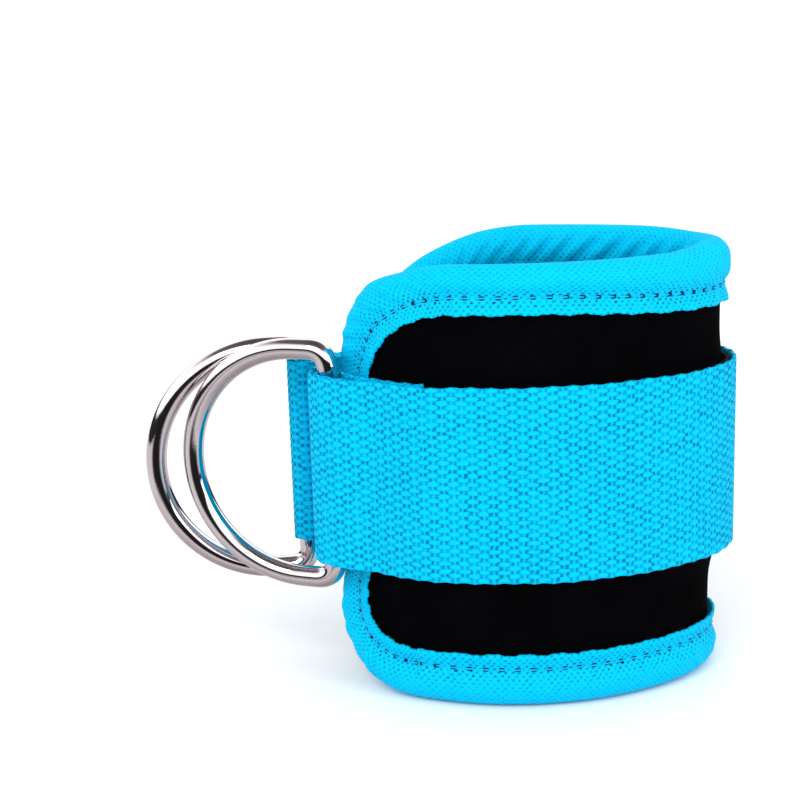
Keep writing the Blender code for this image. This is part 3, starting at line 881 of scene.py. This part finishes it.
def ripple(s, reach, depth, turning, inside):
    """Gathers and unevenness of the tape: how far its face stands off the smooth section.

    turning is 1 in the middle of a corner of the pad and 0 along its straight edges.
    """
    across = np.clip((SEAM_DEPTH - depth) / SEAM_DEPTH, 0.0, 1.0)
    body = np.sin(math.pi * across) ** 0.8
    uneven = 0.16 * np.sin(reach / 9.7 + 1.3 * np.sin(reach / 31.0))
    uneven = uneven + 0.10 * np.sin(reach / 3.9 + 2.0)
    wander = 1.1 * np.sin(reach / 17.0) + 0.6 * np.sin(reach / 5.3)
    pleat = np.sin(2 * math.pi * (reach + 0.95 * depth) / GATHER_PITCH + wander)
    pleat = np.sign(pleat) * np.abs(pleat) ** 0.7
    pull = np.cos(2 * math.pi * reach / SEAM_U_PITCH)
    pull = pull * np.exp(-(((depth - SEAM_DEPTH) / PULL_SPREAD) ** 2))
    past_seam = smooth_step(depth, SEAM_DEPTH, BINDING_DEPTH)
    if inside:
        bend = 0.35 + 0.65 * smooth_step(np.abs(s - PLAN.tip), 75.0, 25.0)
        crowded = np.exp(-(((depth - GATHER_DEPTH) / GATHER_SPREAD) ** 2))
        flare = INNER_FLARE * np.sin(2 * math.pi * reach / GATHER_PITCH + 0.8) * past_seam
        return body * uneven + GATHER_HEIGHT * bend * pleat * crowded + flare - INNER_PULL * pull
    pucker = PUCKER_HEIGHT * np.sin(2 * math.pi * (reach + 0.6 * depth) / PUCKER_PITCH)
    pucker = (pucker + CORNER_FOLD_HEIGHT * turning * pleat) * body
    flare = OUTER_FLARE * np.sin(2 * math.pi * reach / FLARE_PITCH + 1.9 * np.sin(reach / 23.0))
    return body * uneven + pucker + flare * past_seam - OUTER_PULL * pull


def binding_surface(rows, reach, knots, inside):
    """Points of the tape's face: knots is (depth, level) across, one row for each outline station."""
    s, z, in_s, in_z = (rows[:, k][:, None] for k in range(4))
    depth = np.broadcast_to(knots[:, 0][None, :], (len(rows), len(knots)))
    level = np.broadcast_to(knots[:, 1][None, :], depth.shape)
    wave = 0.13 * np.sin(2 * math.pi * reach / 2.6) + 0.2 * np.sin(2 * math.pi * reach / 8.3 + 1.0)
    reach_in = depth + smooth_step(depth, 12.6, BINDING_DEPTH) * wave[:, None]
    place_s = s + in_s * reach_in
    place_z = z + in_z * reach_in
    lift = ripple(s, reach[:, None], depth, 2.0 * np.abs(in_s * in_z), inside)
    face = level + lift * smooth_step(level, 0.0, 2.2)
    if not inside:
        above_low = smooth_step(place_z, BAND_LOW - 5.0, BAND_LOW - 1.0)
        below_high = smooth_step(-place_z, -BAND_HIGH - 5.0, -BAND_HIGH - 1.0)
        in_band = above_low * below_high
        face = face * (1.0 - in_band) + np.minimum(level, FLAT_FACE) * in_band
    xy = PLAN.place(place_s, -face if inside else face)
    return slackened(np.concatenate([xy, place_z[..., None]], -1))


def offset_section(section, wall):
    """The section moved inwards by the tape's thickness."""
    return section - wall * to_right(unit(np.gradient(section, axis=0)))


def make_binding(look, thread):
    rows, reach = outline(OUTLINE_STEP)
    wall = offset_section(HALF_SECTION, TAPE_WALL)[::2][:-1]
    wall[:, 0] = np.maximum(wall[:, 0], TAPE_WALL)
    faces_out = binding_surface(rows, reach, HALF_SECTION, False)
    faces_in = binding_surface(rows, reach, HALF_SECTION, True)[:, ::-1][:, 1:]
    back_in = binding_surface(rows, reach, wall, True)
    back_out = binding_surface(rows, reach, wall, False)[:, ::-1]
    grid = np.concatenate([faces_out, faces_in, back_in, back_out], 1)
    half, back = ACROSS_HALF, ACROSS_HALF[::2][:-1]
    across = np.concatenate([half, -half[::-1][1:], -back, back[::-1]])
    grid[..., 2] = np.maximum(grid[..., 2], 0.0)
    along = np.concatenate([reach, [reach[-1] + OUTLINE_STEP]])
    made = swept("binding_tape", grid[:, ::-1], along, across[::-1], across[-1], look, closed=True)
    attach(made, "cuff")
    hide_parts("edge_binding")
    level = np.interp(-SEAM_DEPTH, -HALF_SECTION[:, 0], HALF_SECTION[:, 1])
    knots = np.array([(SEAM_DEPTH + step, level) for step in (-0.3, 0.0, 0.3)])
    for inside, name, node in (
        (False, "binding_stitches_outside", "binding_outer_seam"),
        (True, "binding_stitches_inside", "binding_inner_seam"),
    ):
        surface = binding_surface(rows, reach, knots, inside)
        centres = surface[:, 1]
        run = np.roll(centres, -1, 0) - np.roll(centres, 1, 0)
        normals = np.cross(run, surface[:, 2] - surface[:, 0])
        flat = PLAN.outwards(rows[:, 0]) * (-1.0 if inside else 1.0)
        normals *= np.sign((normals[:, :2] * flat).sum(1))[:, None]
        sewn = stitches(name, centres, normals, thread, SEAM_U_PITCH, *SEAM_STITCH, closed=True)
        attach(sewn, "cuff")
        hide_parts(node)


# ---- pad

PAD_INSET = 3.0
PAD_SKIN = 0.6
SWELL_CAP = 0.9
PAD_COLUMNS, PAD_ROWS = 84, 34
SIM_STEPS = 20
# How strongly the pad's columns crowd towards its ends
COLUMN_CROWDING = 1.25


def edge_height(s, inset, corner):
    """How far the pad's lower or upper edge lies in from its straight stretch at s."""
    radius = corner - inset
    into = np.minimum(s - inset, PLAN.length - inset - s)
    left = np.clip(radius**2 - (radius - np.minimum(into, radius)) ** 2, 0.0, None)
    return np.where(into >= radius, inset, inset + radius - np.sqrt(left))


def pad_grid(columns, rows):
    """(s, z) over the pad's outline, closer together towards its two ends."""
    share = np.linspace(-1.0, 1.0, columns)
    crowded = np.sin(share * COLUMN_CROWDING) / math.sin(COLUMN_CROWDING)
    s = PLAN.length / 2 + (PLAN.length / 2 - PAD_INSET - 0.3) * crowded
    low, fall = (edge_height(s, PAD_INSET, corner) for corner in (LOW_CORNER, TOP_CORNER))
    z = low[:, None] + (PAD_HEIGHT - low - fall)[:, None] * np.linspace(0, 1, rows)[None, :]
    return np.broadcast_to(s[:, None], z.shape), z


def slab(name, s, z, low, high, look):
    """A closed pad between two levels: all outer points, then all inner ones."""
    columns, rows = s.shape
    outer, inner = (
        np.concatenate([PLAN.place(s, np.full(s.shape, level)), z[..., None]], -1).reshape(-1, 3)
        for level in (high, low)
    )
    count = columns * rows
    faces = []
    for i in range(columns - 1):
        for j in range(rows - 1):
            a, b = i * rows + j, (i + 1) * rows + j
            c, d = b + 1, a + 1
            faces.append((a, b, c, d))
            faces.append((count + d, count + c, count + b, count + a))
    rim = [i * rows for i in range(columns)]
    rim += [(columns - 1) * rows + j for j in range(1, rows)]
    rim += [i * rows + rows - 1 for i in range(columns - 2, -1, -1)]
    rim += [j for j in range(rows - 2, 0, -1)]
    for a, b in zip(rim, rim[1:] + rim[:1]):
        faces.append((b, a, count + a, count + b))
    return make_object(name, np.vstack([outer, inner]), faces, look)


def swell(pad, pinned):
    """Pressure inside the pad, held along its seams and under the strap, as a cloth simulation."""
    group = pad.vertex_groups.new(name="held")
    group.add([int(i) for i in np.nonzero(pinned)[0]], 1.0, "REPLACE")
    rest = read_points(pad)
    cloth = pad.modifiers.new("Cloth", "CLOTH")
    settings = cloth.settings
    settings.quality = 6
    settings.mass = 0.15
    settings.tension_stiffness = 14.0
    settings.compression_stiffness = 14.0
    settings.shear_stiffness = 8.0
    settings.bending_stiffness = 0.6
    settings.use_pressure = True
    settings.uniform_pressure_force = 4.0
    settings.vertex_group_mass = "held"
    settings.effector_weights.gravity = 0.0
    scene = bpy.context.scene
    cloth.point_cache.frame_start, cloth.point_cache.frame_end = 1, SIM_STEPS
    for step in range(1, SIM_STEPS + 1):
        scene.frame_set(step)
    graph = bpy.context.evaluated_depsgraph_get()
    final = pad.evaluated_get(graph).to_mesh()
    moved = np.empty(len(final.vertices) * 3, np.float32)
    final.vertices.foreach_get("co", moved)
    moved = moved.reshape(-1, 3).astype(float) / MM
    pad.evaluated_get(graph).to_mesh_clear()
    pad.modifiers.remove(cloth)
    scene.frame_set(1)
    change = moved - rest
    size = np.linalg.norm(change, axis=1, keepdims=True)
    return change / np.maximum(1.0, size / SWELL_CAP)


def read_points(obj):
    points = np.empty(len(obj.data.vertices) * 3, np.float32)
    obj.data.vertices.foreach_get("co", points)
    return points.reshape(-1, 3).astype(float) / MM


def write_points(obj, points):
    obj.data.vertices.foreach_set("co", (points * MM).astype(np.float32).ravel())
    obj.data.update()


def subdivide(obj):
    modifier = obj.modifiers.new("Smooth", "SUBSURF")
    modifier.levels = modifier.render_levels = 1


def make_pad(cover_look, lining_look, foam_look):
    s, z = pad_grid(PAD_COLUMNS, PAD_ROWS)
    pad = slab("pad_foam", s, z, -PAD_FACE + 0.1, PAD_FACE - 0.1, foam_look)
    flat_s, flat_z = s.ravel(), z.ravel()
    to_edge = np.minimum.reduce([flat_s, PLAN.length - flat_s, flat_z, PAD_HEIGHT - flat_z])
    corner_s = np.minimum(flat_s, PLAN.length - flat_s)
    corner_z = np.minimum(flat_z, PAD_HEIGHT - flat_z)
    corner = np.where(flat_z > PAD_HEIGHT / 2, TOP_CORNER, LOW_CORNER)
    in_corner = (corner_s < corner) & (corner_z < corner)
    round_edge = corner - np.hypot(corner - corner_s, corner - corner_z)
    under_seam = np.where(in_corner, round_edge, to_edge) < SEAM_DEPTH + 1.0
    under_strap = (flat_z > BAND_LOW + 1.0) & (flat_z < BAND_HIGH - 1.0)
    held = np.concatenate([under_seam | under_strap, under_seam])
    rest = read_points(pad)
    change = swell(pad, held)
    puffed = slackened(rest + change)
    write_points(pad, puffed)
    normals = np.empty(len(pad.data.vertices) * 3, np.float32)
    pad.data.vertices.foreach_get("normal", normals)
    normals = normals.reshape(-1, 3).astype(float)
    count = s.size
    for name, node, look, offset, slot_name in (
        ("pad_cover", "pad_outer_cover", cover_look, 0, "neoprene"),
        ("pad_lining", "pad_inner_lining", lining_look, count, "lining"),
    ):
        top = puffed[offset : offset + count]
        under = top - normals[offset : offset + count] * PAD_SKIN
        skin = slab(name, s, z, -1.0, 1.0, look)
        if offset:
            write_points(skin, np.vstack([under, top]))
        else:
            write_points(skin, np.vstack([top, under]))
        subdivide(skin)
        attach(skin, "cuff")
        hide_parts(node)
    write_points(pad, puffed - normals * (PAD_SKIN + 0.1))
    subdivide(pad)
    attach(pad, "cuff")
    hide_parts("pad_foam_core")


# ---- rings and webbing

NEAR_RING_TURN, FAR_RING_TURN = 21.0, -4.0
# The far ring has slid down in its loop
FAR_RING_SAG = 2.2
RING_HALF_HEIGHT, RING_ARM, RING_CORNER = 30.8, 9.4, 4.5
RING_STEP, RING_SOFTEN, WIRE_SIDES = 0.8, 1.1, 36
# The weld's bead: how proud of the wire, and how wide
BEAD_HEIGHT, BEAD_WIDTH = 0.12, 0.9


def make_ring(name, node, body, bar, turn, look, sag=0.0):
    """A D bent from round bar and butt-welded in the middle of its straight side."""
    inner = RING_HALF_HEIGHT - RING_CORNER
    bend = np.radians(np.linspace(0.0, 90.0, 14))
    half = np.radians(np.linspace(90.0, -90.0, 120))
    bar_line = np.column_stack([np.zeros(40), np.linspace(-inner, inner, 40)])
    corner_out = RING_CORNER * (1 - np.cos(bend))
    corner_up = inner + RING_CORNER * np.sin(bend)
    bow_out, bow_up = RING_ARM + RING_HALF_HEIGHT * np.cos(half), RING_HALF_HEIGHT * np.sin(half)
    shape = np.vstack(
        [
            bar_line,
            np.column_stack([corner_out, corner_up])[1:],
            np.column_stack([bow_out, bow_up]),
            np.column_stack([corner_out, -corner_up])[::-1][:-1],
        ]
    )
    closed = evenly(np.vstack([shape, shape[:1]]), RING_STEP, soften=RING_SOFTEN)[:-1]
    heading = math.radians(180.0 - turn)
    place_x = bar[0] + closed[:, 0] * math.cos(heading)
    place_y = bar[1] + closed[:, 0] * math.sin(heading)
    points = np.column_stack([place_x, place_y, BAND_MIDDLE - sag + closed[:, 1]])
    across = np.tile([math.sin(heading), -math.cos(heading), 0.0], (len(points), 1))
    on_bar = (closed[:, 0] < 0.5) & (np.abs(closed[:, 1]) < 4.0)
    bead = BEAD_HEIGHT * np.exp(-((closed[:, 1] / BEAD_WIDTH) ** 2))
    radius = WIRE_RADIUS + np.where(on_bar, bead, 0.0)
    ring = closed_tube(points, across, radius, WIRE_SIDES, name, look)
    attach(ring, body)
    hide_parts(node)


def loop_path(s, first, second, bar, bar_s, turn):
    """Along the pad to the bar, half round it (turn is +1 or -1) and back over itself."""
    start = bearing(-PLAN.outwards(bar_s))
    around = arc(bar, bend_radius(BAR_REACH), start, start + 180.0 * turn, BEND_STEPS)
    return np.vstack([on_pad(s[::-1], first), around, on_pad(s, second)])


def sewn_box(name, node, s_low, s_high, level, look, inset=3.0):
    """Stitches round a rectangle, the given inset from the webbing's edges."""
    points, normals = box_line(s_low, s_high, BAND_LOW + inset, BAND_HIGH - inset, level)
    made = stitches(name, points, normals, look, *BOX_STITCH)
    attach(made, "cuff")
    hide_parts(node)


# From the pad's end to the near and far side of a loop's sewn box
LOOP_BOX = (18.0, 30.0)
# The line of a seam's stitches, above the face they are sewn into
THREAD_SINK = 0.05
ON_WEB = WEB_THICKNESS / 2 + THREAD_SINK


def make_loops(look, painted_shade_web, thread, dark_thread):
    near_s = span(NEAR_BAR_S, LOOP_LENGTH)

    def near_first(s):
        return near_base(s) + WEB_THICKNESS / 2

    def near_second(s):
        top = near_base(0.0) + WEB_THICKNESS / 2 + 2 * BAR_REACH
        rest = near_first(s) + LAYER
        return top + (rest - top) * smooth_step(s, NEAR_BAR_S, NEAR_BAR_S + LOOP_FALL)

    path = loop_path(near_s, near_first, near_second, near_bar(), NEAR_BAR_S, 1)
    made = webbing("near_ring_webbing", path, look)
    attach(made, "cuff")
    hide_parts("near_ring_loop")

    bar_s = PLAN.length + FAR_BAR_PAST_END
    far_s = span(PLAN.length - LOOP_LENGTH, bar_s)[::-1]

    def far_first(s):
        return far_base(s) + LAYER + WEB_THICKNESS / 2

    def far_second(s):
        top = far_base(PLAN.length) + LAYER + WEB_THICKNESS / 2 + 2 * BAR_REACH
        rest = far_first(s) + LAYER
        return top + (rest - top) * smooth_step(bar_s - s, 0.0, LOOP_FALL)

    path = loop_path(far_s, far_first, far_second, far_bar(), bar_s, -1)
    # The far loop takes the darker webbing copy: painted shade for its fold in shadow
    made = webbing("far_ring_webbing", path, painted_shade_web, side=-1.0)
    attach(made, "cuff")
    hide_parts("far_ring_loop")

    def near_face(s):
        return near_second(s) + ON_WEB

    def far_face(s):
        return far_second(s) + ON_WEB

    low, high = LOOP_BOX
    far_low, far_high = PLAN.length - high, PLAN.length - low
    inside = -(PAD_FACE + THREAD_SINK)
    sewn_box("near_webbing_stitches", "near_loop_outer_seam", low, high, near_face, thread)
    sewn_box("far_webbing_stitches", "far_loop_outer_seam", far_low, far_high, far_face, thread)
    sewn_box("near_lining_stitches", "near_loop_inner_seam", low, high, inside, dark_thread)
    sewn_box("far_lining_stitches", "far_loop_inner_seam", far_low, far_high, inside, dark_thread)


# Where the strap's two pieces meet, this far before the free end's hinge
BUTT_BEFORE_HINGE = 6.0
# How far the seams lie in from the ends of the tapes and the hem, and from the hem's edges
TAPE_SEAM_INSET, HEM_SEAM_INSET = 2.0, 3.0
# How far along their own directions the strap's crossing of the gap is pulled
CROSSING_PULL = 0.35


def make_strap(look, thread):
    """The strap's run rides the cuff; its free end lies on the cuff and folds under into its hem at the
    tip.
    """
    end = PLAN.length
    start = on_pad(span(end - LOOP_LENGTH, end), lambda s: far_base(s) + WEB_THICKNESS / 2)
    bar = near_bar()
    reach = BAR_REACH + LAYER
    leave, arrive = start[-1], bar + np.array([-reach, 0.0])
    pull = CROSSING_PULL * np.linalg.norm(leave - arrive)
    first = leave + PLAN.along(end) * pull
    second = arrive + np.array([0.0, pull])
    u = np.linspace(0, 1, 40)[1:-1, None]
    crossing = leave * (1 - u) ** 3 + first * 3 * u * (1 - u) ** 2
    crossing = crossing + second * 3 * u**2 * (1 - u) + arrive * u**3
    turn = (bearing(PLAN.outwards(NEAR_BAR_S)) - 180.0) % 360.0
    wrapped = np.vstack([arrive, arc(bar, bend_radius(reach), 180.0, 180.0 + turn, BEND_STEPS)])
    butt = HINGE_S - BUTT_BEFORE_HINGE
    run = on_pad(span(NEAR_BAR_S, butt), tail_level)
    strap = webbing("strap_run", np.vstack([start, crossing, wrapped, run]), look)
    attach(strap, "cuff")
    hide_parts("tail_strap")

    tip = HINGE_S + FREE_END_LENGTH
    outer = on_pad(span(butt, tip), TAIL_ON_HOOK)
    fold_radius = LAYER / 2
    middle = PLAN.place(tip, TAIL_ON_HOOK - fold_radius)
    heading = bearing(PLAN.outwards(tip))
    fold = arc(middle, fold_radius, heading, heading + 180.0, 10)
    back = on_pad(span(tip - HEM_LENGTH, tip)[::-1], TAIL_ON_HOOK - LAYER)
    free = webbing("strap_free_end", np.vstack([outer, fold, back]), look, step=0.5)
    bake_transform(free)
    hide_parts("tail_free_end")

    points, normals = box_line(
        tip - HEM_LENGTH + TAPE_SEAM_INSET, tip - TAPE_SEAM_INSET,
        BAND_LOW + HEM_SEAM_INSET, BAND_HIGH - HEM_SEAM_INSET, TAIL_ON_HOOK + ON_WEB,
    )
    hem = stitches("strap_hem_stitches", points, normals, thread, *BOX_STITCH)
    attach(hem, "strap_end")
    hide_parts("tail_hem_seam")


# Pile height, and spacing of its points, of the loop and hook tapes
LOOP_PILE, HOOK_PILE = (0.5, 0.9), (0.2, 1.2)
# How far the tapes stop short of the hem and of the free end
TAPE_CLEAR = 3.0
# The share of the pile that stands below the tape's nominal face
PILE_SUNK = 0.7


def fuzzy_tape(name, node, s_low, s_high, level, look, slot_name, relief, step):
    """Hook or loop tape: a thin band whose outer face carries a real, uneven pile."""
    low, high = cad_box(node)[0][2], cad_box(node)[1][2]
    path = evenly(on_pad(span(s_low, s_high), level), step)
    out = to_right(unit(np.gradient(path, axis=0)))
    outer = np.linspace(low, high, round((high - low) / step))
    inner = np.linspace(high, low, 12)
    half = TAPE_THICKNESS / 2
    section = np.array([(half, v) for v in outer] + [(-half, v) for v in inner])
    pile = RANDOM.random((len(path), len(section))) - PILE_SUNK
    lift = section[:, 0][None, :] + np.where(section[:, 0] > 0, pile * relief, 0.0)
    grid = np.empty((len(path), len(section), 3))
    grid[..., :2] = path[:, None, :] + out[:, None, :] * lift[..., None]
    grid[..., 2] = section[:, 1][None, :]
    across = np.arange(len(section)) * step
    made = swept(name, grid, lengths_of(path), across, len(section) * step, look)
    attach(made, "cuff")
    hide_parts(node)


def make_tapes(loop_look, hook_look, dark_thread, thread):
    loop = LOOP_PATCH_START, HINGE_S + FREE_END_LENGTH - HEM_LENGTH - TAPE_CLEAR
    hook = HOOK_START, HINGE_S - TAPE_CLEAR
    loop_level = PAD_FACE + LAYER_GAP + TAPE_THICKNESS / 2
    fuzzy_tape("loop_tape", "loop_patch", *loop, loop_level, loop_look, "loop_tape", *LOOP_PILE)
    fuzzy_tape("hook_tape", "hook_patch", *hook, HOOK_LEVEL, hook_look, "hook_tape", *HOOK_PILE)
    for name, node, (start, end), level, look, slot_name in (
        ("loop_tape_stitches", "loop_patch_seam", loop, LOOP_PATCH_TOP + 0.02, dark_thread, "dark_thread"),
        ("hook_tape_stitches", "hook_patch_seam", hook, TAIL_ON_HOOK + ON_WEB, thread, "thread"),
    ):
        sewn_box(name, node, start + TAPE_SEAM_INSET, end - TAPE_SEAM_INSET, level, look, 2.5)


# ---- stage

FLOOR_HALF, FLOOR_DROP = 6.0, 0.0002
FLOOR_WHITES = ((0.3, (0.95, 0.95, 0.95)), (0.7, (0.97, 0.97, 0.97)))
ROOM_WHITE = (1.06, 1.06, 1.06, 1.0)
FLAG_BLACK = (0.02, 0.018, 0.02, 1.0)
# What polished steel sees of the studio, from straight down to straight up
STUDIO_BANDS = (
    (0.0, (0.42, 0.38, 0.39)), (0.30, (0.95, 0.9, 0.91)), (0.455, (0.85, 0.8, 0.82)),
    (0.475, (0.03, 0.028, 0.03)), (0.575, (0.03, 0.028, 0.03)), (0.61, (1.8, 1.8, 1.85)),
    (0.84, (1.5, 1.5, 1.55)), (0.92, (0.2, 0.17, 0.17)), (1.0, (0.1, 0.085, 0.085)),
)


def make_stage():
    floor_mesh = bpy.data.meshes.new("floor")
    corners = [(x * FLOOR_HALF, y * FLOOR_HALF, 0) for x, y in ((-1, -1), (1, -1), (1, 1), (-1, 1))]
    floor_mesh.from_pydata(corners, [], [(0, 1, 2, 3)])
    made, shader, n = material("floor_paper", 0.9, 0.1)
    place = n.add("ShaderNodeTexCoord").outputs["Object"]
    tone = n.noise(place, 3.0, 2.0)
    n.plug(shader.inputs["Base Color"], n.ramp(tone, FLOOR_WHITES))
    floor_mesh.materials.append(made)
    floor = bpy.data.objects.new("floor", floor_mesh)
    floor.location.z = -FLOOR_DROP
    bpy.context.scene.collection.objects.link(floor)
    floor.visible_glossy = False

    world = bpy.data.worlds.new("studio")
    bpy.context.scene.world = world
    world.use_nodes = True
    tree = world.node_tree
    n = Nodes(tree)
    background = tree.nodes["Background"]
    split = n.add("ShaderNodeSeparateXYZ")
    n.plug(split.inputs[0], n.add("ShaderNodeTexCoord").outputs["Generated"])
    studio = n.ramp(n.math("MULTIPLY_ADD", split.outputs[2], 0.5, 0.5), STUDIO_BANDS)
    in_front = n.spread(n.times(split.outputs[1], -1.0), 0.55, 0.86)
    above_floor = n.spread(split.outputs[2], -0.5, -0.3)
    below_level = n.spread(split.outputs[2], 0.02, 0.1, 1.0, 0.0)
    flagged = n.add("ShaderNodeMix", data_type="RGBA")
    n.plug(flagged.inputs[0], n.times(in_front, n.times(above_floor, below_level)))
    n.plug(flagged.inputs[6], studio)
    flagged.inputs[7].default_value = FLAG_BLACK
    mix = n.add("ShaderNodeMix", data_type="RGBA")
    n.plug(mix.inputs[0], n.add("ShaderNodeLightPath").outputs["Is Glossy Ray"])
    mix.inputs[6].default_value = ROOM_WHITE
    n.plug(mix.inputs[7], flagged.outputs[2])
    n.plug(background.inputs["Color"], mix.outputs[2])
    background.inputs["Strength"].default_value = 1.0

    area_light("key", (-0.5, -1.1, 1.1), (0, 0, 0.05), (0.9, 0.7), 9.0)
    area_light("fill", (1.0, -0.9, 0.5), (0, 0, 0.05), (0.7, 0.9), 4.0)
    scene = bpy.context.scene
    scene.view_settings.view_transform = "Standard"
    scene.view_settings.look = "None"


def main():
    make_camera()
    make_stage()
    web = webbing_material("webbing_cyan")
    # A darker copy of the webbing for the far ring's loop: painted shade, as that fold lies in shadow
    painted_shade_web = webbing_material("webbing_cyan_painted_shade", 0.9)
    binding = binding_material("binding_cyan")
    cover = knit_material("neoprene_knit", (0.0009, 0.0009, 0.0014), 0.55, 0.10, 0.0)
    lining = knit_material("lining_knit", (0.006, 0.006, 0.007), 0.8, 0.16, 0.05)
    foam = foam_material("foam_cells")
    thread = thread_material("thread_cyan", (0.0, 0.58, 0.92))
    dark_thread = thread_material("thread_black", (0.01, 0.01, 0.011))
    chrome = chrome_material("ring_chrome")
    loop_look = pile_material("loop_pile", (0.004, 0.004, 0.0048), 0.35, 0.5)
    hook_look = pile_material("hook_pile", (0.0045, 0.0045, 0.0052), 0.5, 0.35)

    make_pad(cover, lining, foam)
    make_binding(binding, thread)
    make_ring("near_ring", "near_d_ring", "near_ring", near_bar(), NEAR_RING_TURN, chrome)
    make_ring("far_ring", "far_d_ring", "far_ring", far_bar(), FAR_RING_TURN, chrome, sag=FAR_RING_SAG)
    make_loops(web, painted_shade_web, thread, dark_thread)
    make_tapes(loop_look, hook_look, dark_thread, thread)
    make_strap(web, thread)


main()
